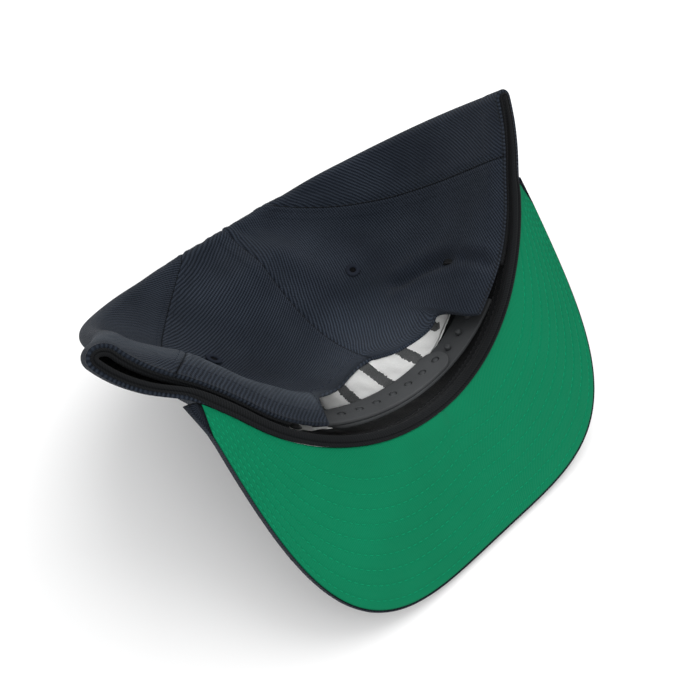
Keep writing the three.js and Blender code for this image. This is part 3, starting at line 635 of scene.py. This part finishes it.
# Materials
class Nodes:
    """A material's node tree with short ways to add nodes."""

    def __init__(self, name):
        self.material = bpy.data.materials.new(name)
        self.material.use_nodes = True
        self.tree = self.material.node_tree
        self.tree.nodes.clear()
        self.shader = self.tree.nodes.new("ShaderNodeBsdfPrincipled")
        output = self.tree.nodes.new("ShaderNodeOutputMaterial")
        self.tree.links.new(self.shader.outputs[0], output.inputs[0])

    def add(self, kind, inputs=None, **settings):
        node = self.tree.nodes.new("ShaderNode" + kind)
        for key, value in settings.items():
            setattr(node, key, value)
        for key, value in (inputs or {}).items():
            self.put(node.inputs[key], value)
        return node

    def put(self, socket, value):
        if isinstance(value, bpy.types.NodeSocket):
            self.tree.links.new(value, socket)
        else:
            socket.default_value = value

    def math(self, operation, a, b=0.0):
        node = self.add("Math", operation=operation)
        for socket, value in zip(node.inputs, (a, b)):
            self.put(socket, value)
        return node.outputs[0]

    def noise(self, vector, scale, detail=3.0, roughness=0.6):
        inputs = {"Vector": vector, "Scale": scale, "Detail": detail, "Roughness": roughness}
        return self.add("TexNoise", inputs).outputs["Fac"]

    def blend(self, factor, a, b):
        node = self.add("Mix", data_type="RGBA")
        self.put(node.inputs[0], factor)
        self.put(node.inputs[6], a)
        self.put(node.inputs[7], b)
        return node.outputs[2]

    def ramp(self, value, low, high):
        node = self.add("MapRange", {"Value": value, "From Min": low, "From Max": high})
        node.clamp = True
        return node.outputs[0]

    def finish(self, color, roughness, height, distance, **shader):
        self.put(self.shader.inputs["Base Color"], color)
        self.put(self.shader.inputs["Roughness"], roughness)
        for key, value in shader.items():
            self.shader.inputs[key.replace("_", " ")].default_value = value
        node = self.add("Bump", {"Height": height, "Distance": distance, "Strength": 1.0})
        self.tree.links.new(node.outputs[0], self.shader.inputs["Normal"])
        return self.material


def rgba(*channels):
    return (*channels, 1.0)


def twill_material(name, dark, light, pitch, slope, relief=0.0003, contrast=1.5, painted_highlight=None):
    """Diagonal ribs over fine threads, in metres of cloth. The last argument paints a highlight, a paler
    band along the rim: its middle height and its half width."""
    n = Nodes(name)
    uv = n.add("UVMap", uv_map="Cloth").outputs[0]
    split = n.add("SeparateXYZ", {"Vector": uv})
    u, v = split.outputs[0], split.outputs[1]
    where = n.add("TexCoord").outputs["Object"]
    wobble = n.math("MULTIPLY", n.math("SUBTRACT", n.noise(where, 90.0), 0.5), pitch * 0.9)
    across = n.math("ADD", n.math("MULTIPLY", u, math.cos(slope)), n.math("MULTIPLY", v, math.sin(slope)))
    across = n.math("ADD", across, wobble)
    rib = n.math("SINE", n.math("MULTIPLY", across, 2 * math.pi / pitch))
    along_v, along_u = n.math("MULTIPLY", v, math.cos(slope)), n.math("MULTIPLY", u, math.sin(slope))
    thread = n.math("SUBTRACT", along_v, along_u)
    thread = n.math("SINE", n.math("MULTIPLY", thread, 2 * math.pi / (pitch * 0.8)))
    weave = n.math("ADD", n.math("MULTIPLY", rib, 0.5), n.math("MULTIPLY", thread, 0.14))
    fibre = n.noise(where, 5200.0, 4.0, 0.75)
    weave = n.math("ADD", weave, n.math("MULTIPLY", n.math("SUBTRACT", fibre, 0.5), 0.9))
    tone = n.ramp(weave, -0.75 / contrast, 0.95 / contrast)
    patches = n.noise(where, 26.0, 2.0)
    tone = n.math("MULTIPLY", tone, n.ramp(patches, 0.0, 0.9))
    color = n.blend(tone, dark, light)
    # Painted highlight: a paler, patchy band along the rim where the rolled crest catches the light
    if painted_highlight is not None:
        away = n.math("ABSOLUTE", n.math("DIVIDE", n.math("SUBTRACT", v, painted_highlight[0]), painted_highlight[1]))
        share = n.math("MULTIPLY", n.ramp(away, 1.0, 0.2), n.ramp(n.noise(where, 60.0), 0.1, 0.75))
        color = n.blend(n.math("MULTIPLY", share, 0.62), color, NAVY_HIGHLIGHT)
    return n.finish(color, n.ramp(weave, -4.0, 1.5), weave, relief,
                    Sheen_Weight=0.03, Sheen_Roughness=0.55, Specular_IOR_Level=0.06)


def plain_cloth(name, dark, light, scale, relief=0.0001, rough=0.9):
    n = Nodes(name)
    where = n.add("TexCoord").outputs["Object"]
    fine = n.noise(where, scale, 4.0, 0.7)
    broad = n.noise(where, scale / 60, 2.0)
    color = n.blend(n.ramp(n.math("ADD", fine, n.math("MULTIPLY", broad, 0.4)), 0.45, 0.95), dark, light)
    return n.finish(color, rough, fine, relief, Specular_IOR_Level=0.12)


def plastic_material(name, dark, light):
    n = Nodes(name)
    where = n.add("TexCoord").outputs["Object"]
    fine = n.noise(where, 2600.0, 3.0, 0.6)
    broad = n.noise(where, 60.0, 3.0)
    color = n.blend(n.ramp(broad, 0.3, 0.75), dark, light)
    return n.finish(color, n.ramp(fine, -1.4, 1.4), fine, 0.00003, Specular_IOR_Level=0.25)


NAVY_DARK, NAVY_LIGHT = rgba(0.0045, 0.0070, 0.0120), rgba(0.044, 0.056, 0.078)
# Paler navy for the painted highlight along the rolled rim's crest
NAVY_HIGHLIGHT = rgba(0.085, 0.100, 0.120)
TWILL_PITCH = 0.00125
TWILL_SLOPE = math.radians(42)
TWILL_RIGHT = twill_material("Twill", NAVY_DARK, NAVY_LIGHT, TWILL_PITCH, TWILL_SLOPE)
# The rolled left panels get a painted highlight along the crest, 14.5 mm up the cloth from the rim
TWILL_LEFT = twill_material("TwillRolled", NAVY_DARK, NAVY_LIGHT, TWILL_PITCH, TWILL_SLOPE,
                            painted_highlight=(0.0145, 0.0105))
TWILL_PEAK = twill_material("PeakTwill", NAVY_DARK, NAVY_LIGHT, 0.0013, math.radians(40))
GREEN = twill_material("GreenTwill", rgba(0.0, 0.148, 0.064), rgba(0.0, 0.228, 0.105), 0.0008,
                       math.radians(45), 0.00008, 0.8)
BLACK_BAND = twill_material("BandTwill", rgba(0.003, 0.0035, 0.004), rgba(0.015, 0.016, 0.018), 0.0009,
                            math.radians(38), 0.00006)
BACKING = plain_cloth("Backing", rgba(0.86, 0.87, 0.86), rgba(0.95, 0.95, 0.94), 1400.0)
BAR_THREAD = plain_cloth("BarThread", rgba(0.03, 0.032, 0.033), rgba(0.17, 0.175, 0.178), 3000.0, 0.0002)
NAVY_THREAD = plain_cloth("NavyThread", rgba(0.006, 0.008, 0.013), rgba(0.022, 0.027, 0.040),
                          4000.0, 0.00005)
BLACK_THREAD = plain_cloth("BlackThread", rgba(0.006, 0.006, 0.007), rgba(0.035, 0.037, 0.040),
                           4000.0, 0.00005)
GREEN_THREAD = plain_cloth("GreenThread", rgba(0.0, 0.20, 0.085), rgba(0.004, 0.34, 0.16), 4000.0, 0.00005)
PLASTIC = plastic_material("StrapPlastic", rgba(0.022, 0.0235, 0.025), rgba(0.032, 0.034, 0.036))
PEG_PLASTIC = plastic_material("PegPlastic", rgba(0.018, 0.0195, 0.021), rgba(0.027, 0.029, 0.031))


def place(ob, material, slot, *nodes):
    ob.data.materials.append(material)
    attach(ob, "root")
    if nodes:
        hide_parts(*nodes)
    return ob


# Crown
PANELS = {}
for side_name, side in (("right", 1), ("left", -1)):
    for part, start, end in (("front", "front", "side"), ("side", "side", "rear"), ("back", "rear", "back")):
        node = f"panel_{part}_{side_name}"
        piece, PANELS[node] = panel_object(f"cloth_{part}_{side_name}", start, end, side)
        rolled = side < 0 and part != "front"
        place(piece, TWILL_LEFT if rolled else TWILL_RIGHT, "navy_twill", node)

seam_rows = []
for panel in PANELS.values():
    seam_rows.append(panel_line(panel, STITCH_INSET))
    seam_rows.append(panel_line(panel, STITCH_INSET, from_end=True))
place(stitch_mesh("seam_stitches", seam_rows, radius=0.17, lift=0.05), NAVY_THREAD, "navy_thread")
hem_rows = [hem_line(PANELS[f"panel_back_{s}"], HEM_STITCH) for s in ("right", "left")]
place(stitch_mesh("hem_stitches", hem_rows, radius=0.17, lift=0.05), NAVY_THREAD, "navy_thread")


# Sweatband and the binding that covers the rim's edge
def band_angles(count):
    def along_rim(s):
        return mix(-BAND_END, BAND_END, s), 0.02 + 0 * s
    return mix(-BAND_END, BAND_END, even_stations(count, along_rim))


def band_grid(count, heights):
    return np.meshgrid(band_angles(count), rise_at(np.asarray(heights)), indexing="xy")


band_heights = np.concatenate([np.linspace(0, 8, 17), np.linspace(9, BAND_HEIGHT, 17)])
angle, rise = band_grid(BAND_STATIONS, band_heights)
middle, normal = crown(angle, rise), crown_normal(angle, rise)
back_of_band = -CLOTH / 2 - LAYER_GAP
level = band_heights[:, None]
face = back_of_band - BAND_CLOTH + 0.0 * angle
face -= 0.55 * smooth((3.2 - level) / 1.0) - 0.3 * bump(level - 3.6, 0.5) - 0.25 * bump(level - 6.6, 0.5)
face += 0.25 * np.sin(angle * 0.9 + 1.7 * np.sin(angle * 0.23)) * smooth((level - 7) / 12)
flat = np.stack([arc_length(middle, 1), np.broadcast_to(level, angle.shape)], -1) * MM
place(sheet_object("sweatband_face", middle, normal, back_of_band + 0 * angle, face, flat),
      BLACK_BAND, "black_band", "sweatband")
rows = []
for h in (3.6, 6.6):
    a, r = band_grid(600, [h])
    m, n = crown(a, r)[0], crown_normal(a, r)[0]
    rows.append((m + n * (back_of_band - BAND_CLOTH + 0.1), -n))
place(stitch_mesh("band_stitches", rows, pitch=2.4, radius=0.2, lift=0.12), BLACK_THREAD, "black_band")

a = band_angles(BAND_STATIONS)
base, out = crown(a, 0 * a), crown_normal(a, 0 * a)
down = crown(a, 0 * a) - crown(a, 0 * a + 0.03)
down /= np.linalg.norm(down, axis=1, keepdims=True)
reach = mix(-0.55, 1.15, smooth((70 - np.abs(a)) / 8))
inner_edge = -CLOTH / 2 - LAYER_GAP - BAND_CLOTH - 0.75
section = []
for turn in np.linspace(0, 2 * np.pi, 28, endpoint=False):
    share = (1 + math.cos(turn)) / 2
    offset = mix(inner_edge, reach, share)
    thick = 0.95 * abs(math.sin(turn)) ** 0.7 * (1 - 0.85 * bump(share - 0.6, 0.07))
    z = 0.25 + thick if math.sin(turn) > 0 else 0.25 - 0.45 * abs(math.sin(turn))
    section.append(base + out * np.reshape(offset, (-1, 1)) + down * z)
loops = np.stack(section, 1)
count = loops.shape[1]
run = np.concatenate([[0], np.cumsum(np.linalg.norm(np.diff(base, axis=0), axis=1))])
flat = np.stack([np.repeat(run, count), np.tile(np.linspace(0, 9, count), len(a))], -1) * MM
place(loft_object("rim_binding", loops, flat), BLACK_BAND, "black_band")


# Peak
def peak_sections(profile, reach=1.0):
    """Loops from the wearer's left end of the peak to the right one, or to a share of each side."""
    shares = np.linspace(-reach, reach, PEAK_STATIONS)
    inner, outer = peak_inner(PEAK_END_ANGLE * shares), peak_outline(90 * shares)
    width = np.linalg.norm(inner - outer, axis=1)
    loops = []
    for i in range(PEAK_STATIONS):
        d, z = profile(width[i])
        plan = mix(outer[i], inner[i], np.clip(d / width[i], 0, 1)[:, None])
        loops.append(to_row(arch(np.concatenate([plan, z[:, None]], 1))))
    return np.array(loops)


def cover_profile(width):
    lip = min(EDGE_LIP, 0.4 * width)
    seat = PEAK_LINING + PIECE_GAP
    under = np.linspace(width, lip + 0.05, 8)
    d = list(under)
    z = [seat] * len(under)
    for turn in np.linspace(-75, 90, 14):
        c, s = math.cos(math.radians(turn)), math.sin(math.radians(turn))
        half = PEAK_THICKNESS / 2 - 0.02
        d.append(lip * 1.15 * (1 - c ** 0.8) if turn < 0 else 1.6 * (1 - max(c, 0) ** 0.8))
        z.append(half + half * s)
    top = np.linspace(2.6, width, 20)
    d += list(top)
    z += [PEAK_THICKNESS] * len(top)
    return np.array(d), np.array(z)


STITCH_ROWS = [5.0 + 6.0 * k for k in range(9)]


def lining_profile(width):
    edge = min(EDGE_LIP + PIECE_GAP, 0.6 * width)
    low = np.linspace(width, edge, 120)
    z = np.zeros(120)
    for row in STITCH_ROWS:
        z += 0.22 * bump(low - row, 0.55)
    z += 0.35 * smooth((edge + 0.8 - low) / 0.8)
    high = np.linspace(edge, width, 8)
    return np.concatenate([low, high]), np.concatenate([z, np.full(8, PEAK_LINING)])


def peak_flat(loops):
    count = loops.shape[1]
    along = arc_length(loops[:, count // 3][:, None], 0)[:, 0]
    return np.stack([np.repeat(along, count), arc_length(loops, 1).reshape(-1)], -1) * MM


loops = peak_sections(cover_profile)
place(loft_object("peak_cover", loops, peak_flat(loops)), TWILL_PEAK, "peak_twill", "peak_top")
LINING_REACH = 0.988
loops = peak_sections(lining_profile, LINING_REACH)
place(loft_object("peak_lining", loops, peak_flat(loops)), GREEN, "green_cloth", "peak_underside")

peak_rows = []
for row in STITCH_ROWS:
    s = np.linspace(-LINING_REACH, LINING_REACH, 400)
    inner, outer = peak_inner(PEAK_END_ANGLE * s), peak_outline(90 * s)
    width = np.linalg.norm(inner - outer, axis=1)
    keep = width > row + 3.0
    plan = mix(outer, inner, np.clip(row / width, 0, 1)[:, None])[keep]
    if len(plan) < 5:
        continue
    points = to_row(arch(with_z(plan, 0.16)))
    facing = to_row(arch(with_z(plan, -0.84))) - points
    peak_rows.append((points, facing))
place(stitch_mesh("peak_stitches", peak_rows, pitch=3.0, length=2.2, radius=0.16, lift=0.06),
      GREEN_THREAD, "green_cloth")


# Strap
def strap_point(angle, height, depth):
    slope = math.hypot(1, STRAP_LEAN)
    z = STRAP_RAISE + (height + depth * STRAP_LEAN) / slope
    radius = STRAP_RADIUS - STRAP_LEAN * height / slope + depth / slope
    turned = np.radians(angle)
    x, y = radius * np.sin(turned), STRAP_CENTRE + radius * np.cos(turned)
    return to_row(np.stack(np.broadcast_arrays(x, y, z), -1))


DEG_PER_MM = math.degrees(1 / STRAP_RADIUS)
STRAP_ROUND = 0.42
ROUND_SIDES = 28


def strap_slab(name, start, end, depth):
    """A slab with rounded long edges and a round far end."""
    half = STRAP_WIDTH / 2
    sign = 1 if end > start else -1
    body_end = end - sign * half * DEG_PER_MM
    s = np.linspace(start, body_end, 90)
    stops = [(v, half) for v in s]
    for turn in (8, 16, 25, 34, 43, 52, 60, 68, 75, 81, 86):
        t = math.radians(turn)
        stops.append((body_end + sign * half * DEG_PER_MM * math.sin(t), half * math.cos(t)))
    ring = []
    for cx, cz, t0 in ((1, 1, 0), (-1, 1, 90), (-1, -1, 180), (1, -1, 270)):
        for t in (0, 30, 60, 90):
            ring.append((cx, cz, math.radians(t0 + t)))
    loops = []
    for at, reach in stops:
        row = []
        for cx, cz, t in ring:
            rr = min(STRAP_ROUND, reach * 0.6)
            h = half + cx * (reach - rr) + rr * math.cos(t)
            d = depth + STRAP_THICKNESS / 2 + cz * (STRAP_THICKNESS / 2 - rr) + rr * math.sin(t)
            row.append(strap_point(at, h, d))
        loops.append(row)
    return loft_object(name, np.array(loops))


def post_object(name, angle, radius, start, end, dome_top=0.0):
    """A round post through the strap, with a domed top where dome_top is its height."""
    half = STRAP_WIDTH / 2
    a, b = strap_point(angle, half, start), strap_point(angle, half, end)
    axis = (b - a) / np.linalg.norm(b - a)
    side = strap_point(angle + 0.5, half, start) - a
    side -= axis * side.dot(axis)
    side /= np.linalg.norm(side)
    other = np.cross(axis, side)
    rings = [(1.0, 0.0)]
    if dome_top:
        rings = [(0.0, -dome_top), (0.55, -0.85 * dome_top), (0.85, -0.5 * dome_top), *rings]
    turn = np.linspace(0, 2 * np.pi, ROUND_SIDES, endpoint=False)[:, None]
    circle = side * np.cos(turn) + other * np.sin(turn)
    loops = [a + axis * lift + circle * radius * max(share, 0.02) for share, lift in rings]
    loops.append(b + circle * radius)
    return loft_object(name, np.array(loops))


def torus_points(centre, axis, side, major, minor, squash, tube=8):
    other = np.cross(axis, side)
    t = np.linspace(0, 2 * np.pi, ROUND_SIDES, endpoint=False)
    p = np.linspace(0, 2 * np.pi, tube, endpoint=False)
    circle = side * np.cos(t)[:, None] + other * np.sin(t)[:, None]
    points = (centre + circle[:, None] * (major + minor * np.cos(p))[None, :, None]
              + axis * (minor * squash * np.sin(p))[None, :, None])
    return points.reshape(-1, 3), ring_faces(ROUND_SIDES, tube)


def cut_with(ob, cutters):
    for cutter in cutters:
        modifier = ob.modifiers.new("cut", "BOOLEAN")
        modifier.operation = "DIFFERENCE"
        modifier.solver = "EXACT"
        modifier.object = cutter
    bpy.context.view_layer.update()
    evaluated = ob.evaluated_get(bpy.context.evaluated_depsgraph_get())
    mesh = bpy.data.meshes.new_from_object(evaluated)
    ob.modifiers.clear()
    old = ob.data
    ob.data = mesh
    bpy.data.meshes.remove(old)
    for cutter in cutters:
        bpy.data.objects.remove(cutter, do_unlink=True)
    mesh.set_sharp_from_angle(angle=math.radians(35))
    return ob


holes_half = strap_slab("strap_holes_half", STRAP_LEFT_LEG - STRAP_TUCK, STRAP_FREE_END, 0.0)
cutters = [post_object(f"cutter_{k}", FIRST_HOLE - k * STRAP_PITCH, HOLE_RADIUS, -1.0, STRAP_THICKNESS + 1.0)
           for k in range(HOLE_COUNT)]
place(cut_with(holes_half, cutters), PLASTIC, "strap_plastic", "strap_with_holes")

peg_depth = STRAP_THICKNESS + PIECE_GAP
last_peg = FIRST_HOLE + (PEGS_PAST_END - PEG_COUNT + 1) * STRAP_PITCH
pegs_half = strap_slab("strap_pegs_half", STRAP_RIGHT_LEG + STRAP_TUCK, last_peg - STRAP_PITCH, peg_depth)
place(pegs_half, PEG_PLASTIC, "strap_plastic", "strap_with_pegs")
peg_angles = [FIRST_HOLE + (PEGS_PAST_END - k) * STRAP_PITCH for k in range(PEG_COUNT)]
for k, peg_angle in enumerate(peg_angles):
    peg = post_object(f"strap_peg_{k:02d}", peg_angle, PEG_RADIUS, 0.35, peg_depth + 0.1, dome_top=0.5)
    place(peg, PEG_PLASTIC, "strap_plastic")

points, quads = [], []
for k in range(HOLE_COUNT):
    at = FIRST_HOLE - k * STRAP_PITCH
    centre = strap_point(at, STRAP_WIDTH / 2, 0.0)
    axis = strap_point(at, STRAP_WIDTH / 2, 1.0) - centre
    side = strap_point(at + 0.5, STRAP_WIDTH / 2, 0.0) - centre
    side /= np.linalg.norm(side)
    p, q = torus_points(centre, axis / np.linalg.norm(axis), side, HOLE_RADIUS + 0.2, 0.18, 0.6)
    points.append(p)
    quads.append(k * len(p) + q)
place(closed_object("strap_hole_rims", np.concatenate(points), [np.concatenate(quads)]),
      PLASTIC, "strap_plastic")


# White backing behind the front panels, with plain dark bars of embroidery
heights = rise_at(np.linspace(BAND_HEIGHT + 1.2, BACKING_TOP, 60))
turns = np.linspace(-BACKING_ANGLE, BACKING_ANGLE, 110)
angle, rise = np.meshgrid(turns, heights, indexing="xy")
middle, normal = crown(angle, rise), crown_normal(angle, rise)
backing_outer = -CLOTH / 2 - LAYER_GAP
pucker = 0.18 * np.sin(angle * 0.8 + rise * 21) + 0.12 * np.sin(angle * 1.9 - rise * 33)
flat = np.stack([arc_length(middle, 1), arc_length(middle, 0)], -1) * MM
place(sheet_object("backing_sheet", middle, normal, backing_outer + 0 * angle,
                   backing_outer - BACKING_CLOTH + pucker, flat),
      BACKING, "backing_cloth", "front_backing")

# Each bar runs from a low rise to a high one and leans sideways by some degrees
BAR_WIDTH = 5.2
BAR_LOW, BAR_HIGH = 0.15, 0.46
BAR_LEAN = 7.0
BAR_STATIONS = 60
parts, faces, at = [], [], 0
for start in (-40, -29, -18, -7, 4, 15, 26, 37):
    s = np.linspace(0, 1, BAR_STATIONS)
    a, r = mix(start, start + BAR_LEAN, s), mix(BAR_LOW, BAR_HIGH, s)
    spine, n = crown(a, r), crown_normal(a, r)
    t = np.gradient(spine, axis=0)
    t /= np.linalg.norm(t, axis=1, keepdims=True)
    b = np.cross(t, n)
    end_round = np.sqrt(np.clip(1 - (np.clip(np.abs(s - 0.5) - 0.42, 0, 1) / 0.08) ** 2, 0.02, 1))
    ragged = 1 + 0.10 * RNG.standard_normal((BAR_STATIONS, 2))
    lanes = np.linspace(-1, 1, 11)
    half = BAR_WIDTH / 2 * end_round
    lane_offset = lanes[None, :] * np.where(lanes[None, :] < 0, ragged[:, :1], ragged[:, 1:]) * half[:, None]
    lift = backing_outer - BACKING_CLOTH - 0.1 - 0.5 * (1 - np.abs(lanes[None, :]) ** 4) + 0 * lane_offset
    points = spine[:, None] + b[:, None] * lane_offset[..., None] + n[:, None] * lift[..., None]
    under = spine[:, None] + b[:, None] * lane_offset[..., None] + n[:, None] * (backing_outer - 0.3)
    stack = np.concatenate([points, under[:, ::-1]], 1)
    faces += loft_faces(BAR_STATIONS, stack.shape[1], at)
    parts.append(stack.reshape(-1, 3))
    at += stack.shape[0] * stack.shape[1]
place(closed_object("backing_bars", np.concatenate(parts), faces), BAR_THREAD, "backing_cloth")


# Eyelets: a ring wrapped in thread round a near-black disc of painted shade that stands for the hole. Each
# has its angle and rise.
EYELETS = {
    "front_right": (30.0, 0.52), "side_right": (84.0, 0.5), "back_right": (146.0, 0.485),
    "front_left": (-30.0, 0.52), "side_left": (-84.0, 0.5), "back_left": (-132.0, 0.41),
}


def crown_scale(angle, rise):
    """Millimetres of crown to a degree and to a whole rise, at one spot."""
    da, dr = 0.5, 0.005
    turned = crown(np.array([angle - da, angle + da]), np.array([rise, rise]))
    climbed = crown(np.array([angle, angle]), np.array([rise - dr, rise + dr]))
    mm_angle = np.linalg.norm(turned[1] - turned[0]) / (2 * da)
    mm_rise = np.linalg.norm(climbed[1] - climbed[0]) / (2 * dr)
    return mm_angle, mm_rise


def eyelet_object(name, angle, rise):
    mm_angle, mm_rise = crown_scale(angle, rise)
    threads, steps, tube = 44, 4, 14
    sides = threads * steps
    t = np.linspace(0, 2 * np.pi, sides, endpoint=False)
    p = np.linspace(0, 2 * np.pi, tube, endpoint=False)
    wrap = 1 + 0.13 * np.cos(t * threads)
    radius = 2.55 + 1.05 * np.cos(p)[None, :] * (1 + 0.05 * np.cos(t * threads))[:, None]
    lift = CLOTH / 2 + 0.25 + 0.62 * np.sin(p)[None, :] * wrap[:, None]
    a = angle + radius * np.cos(t)[:, None] / mm_angle
    r = rise + radius * np.sin(t)[:, None] / mm_rise
    points = crown(a, r) + crown_normal(a, r) * lift[..., None]
    return closed_object(name, points.reshape(-1, 3), [ring_faces(sides, tube)])


def hole_shade_object(name, angle, rise):
    mm_angle, mm_rise = crown_scale(angle, rise)
    t = np.linspace(0, 2 * np.pi, 24, endpoint=False)
    loops = []
    for radius, lift in ((0.02, 0.18), (0.9, 0.16), (1.7, 0.1), (1.7, -0.3), (0.02, -0.35)):
        a = angle + radius * np.cos(t) / mm_angle
        r = rise + radius * np.sin(t) / mm_rise
        loops.append(crown(a, r) + crown_normal(a, r) * (CLOTH / 2 + lift))
    return loft_object(name, np.array(loops))


# Near-black painted shade inside each eyelet's hole, where the cloth has no real hole
HOLE_SHADE = plain_cloth("HoleShade", rgba(0.001, 0.001, 0.0015), rgba(0.003, 0.003, 0.004),
                        2000.0, 0.00002, 1.0)
for place_name, (at, share) in EYELETS.items():
    place(eyelet_object(f"ring_{place_name}", at, share), NAVY_THREAD, "navy_thread", f"eyelet_{place_name}")
    place(hole_shade_object(f"hole_{place_name}", at, share), HOLE_SHADE, "navy_thread")


# Cloth-covered button on the top centre
seat = to_row(np.array([0.0, APEX_FORWARD, CROWN_HEIGHT + CLOTH / 2 + PIECE_GAP]))
up = tip_over(np.array([0.0, 0.0, 1.0]), TILT)
side = np.array([1.0, 0.0, 0.0])
front = np.cross(up, side)
t = np.linspace(0, 2 * np.pi, 72, endpoint=False)[:, None]

# Share of the button's radius, then height
BUTTON_PROFILE = [(0.02, 0.0), (0.9, 0.0), (0.99, 0.35), (1.0, 1.0), (0.96, 1.7), (0.86, 2.4),
                  (0.7, 2.85), (0.5, 3.15), (0.25, 3.33), (0.02, BUTTON_HEIGHT)]
loops = []
for share, lift in BUTTON_PROFILE:
    gathers = 1 + 0.006 * np.cos(t * 18) * (lift < 2)
    circle = (side * np.cos(t) + front * np.sin(t)) * BUTTON_RADIUS * share * gathers
    loops.append(seat + circle + up * lift)
loops = np.array(loops)
flat = (np.stack([(loops - seat) @ side, (loops - seat) @ front], -1) * MM).reshape(-1, 2)
place(loft_object("button_cover", loops, flat), TWILL_PEAK, "navy_twill", "button")


# Floor, light and camera
def stage_plane(name, size, color):
    v = np.array([(-size, -size, -0.02), (size, -size, -0.02), (size, size, -0.02), (-size, size, -0.02)])
    ob = new_object(name, v, [np.array([[0, 1, 2, 3]])], smooth_faces=False)
    n = Nodes(name + "Paint")
    where = n.add("TexCoord").outputs["Object"]
    grain = n.noise(where, 400.0)
    ob.data.materials.append(n.finish(n.blend(grain, color, color), 0.9, grain, 0.00001))
    return ob


stage_plane("Floor", 6000.0, rgba(0.93, 0.93, 0.93))

bpy.context.scene.view_settings.view_transform = "Standard"
world = bpy.data.worlds.new("Studio")
bpy.context.scene.world = world
world.use_nodes = True
world.node_tree.nodes["Background"].inputs[0].default_value = (1.0, 1.0, 1.0, 1.0)
world.node_tree.nodes["Background"].inputs[1].default_value = 0.95


def axes_from(back):
    """Right, up and back directions as columns, level with the floor."""
    right = np.cross((0, 0, 1), back)
    right /= np.linalg.norm(right)
    return np.stack([right, np.cross(back, right), back], 1)


def stand(name, data, axes, location):
    ob = bpy.data.objects.new(name, data)
    ob.matrix_world = Matrix([[*row, c] for row, c in zip(axes, location)] + [[0, 0, 0, 1]])
    bpy.context.scene.collection.objects.link(ob)
    return ob


def area_light(name, location, target, size, power):
    data = bpy.data.lights.new(name, "AREA")
    data.shape = "DISK"
    data.size = size
    data.energy = power
    direction = np.array(target) - np.array(location)
    stand(name, data, axes_from(-direction / np.linalg.norm(direction)), location)


area_light("Key", (0.55, 0.25, 1.1), (0, 0, 0.05), 1.2, 7.0)
area_light("Fill", (-0.8, -0.7, 0.9), (0, 0, 0.05), 0.9, 3.0)

# The camera as solved from the photo, in the cap's frame, then tipped with the cap
SOLVED_TILT = math.radians(44.2233)
ELEVATION, AZIMUTH, ROLL = (math.radians(v) for v in (51.858, -47.4865, 4.6707))
CAMERA_RIGHT, CAMERA_UP, CAMERA_BACK = 7.99, -60.19, 376.9
LENS, SENSOR = 50.73, 36.0
level = math.cos(ELEVATION)
view_back = np.array([math.sin(AZIMUTH) * level, -math.cos(AZIMUTH) * level, math.sin(ELEVATION)])
right, upward, back = axes_from(view_back).T
right, upward = (math.cos(ROLL) * right + math.sin(ROLL) * upward,
                 -math.sin(ROLL) * right + math.cos(ROLL) * upward)
centre = right * CAMERA_RIGHT + upward * CAMERA_UP + back * CAMERA_BACK
untip = np.array([
    [1, 0, 0],
    [0, -math.cos(SOLVED_TILT), -math.sin(SOLVED_TILT)],
    [0, math.sin(SOLVED_TILT), -math.cos(SOLVED_TILT)],
])
axes = np.stack([tip_over(untip @ v, TILT) for v in (right, upward, back)], 1)
location = to_row(untip @ centre) * MM
camera_data = bpy.data.cameras.new("Camera")
camera_data.sensor_width = SENSOR
camera_data.lens = LENS
bpy.context.scene.camera = stand("Camera", camera_data, axes, location)

# A narrow light from the photo's side through the rear opening onto the white backing
# Turned from the camera's axes by these shares to the right and up
OPENING_ASIDE = np.array([-0.0355, 0.0122, 1.0])
spot_data = bpy.data.lights.new("Opening", "SPOT")
spot_data.energy = 8.0
spot_data.spot_size = math.radians(9)
spot_data.spot_blend = 0.8
spot_data.shadow_soft_size = 0.01
spot_back = axes @ OPENING_ASIDE
stand("Opening", spot_data, axes_from(spot_back / np.linalg.norm(spot_back)), location)
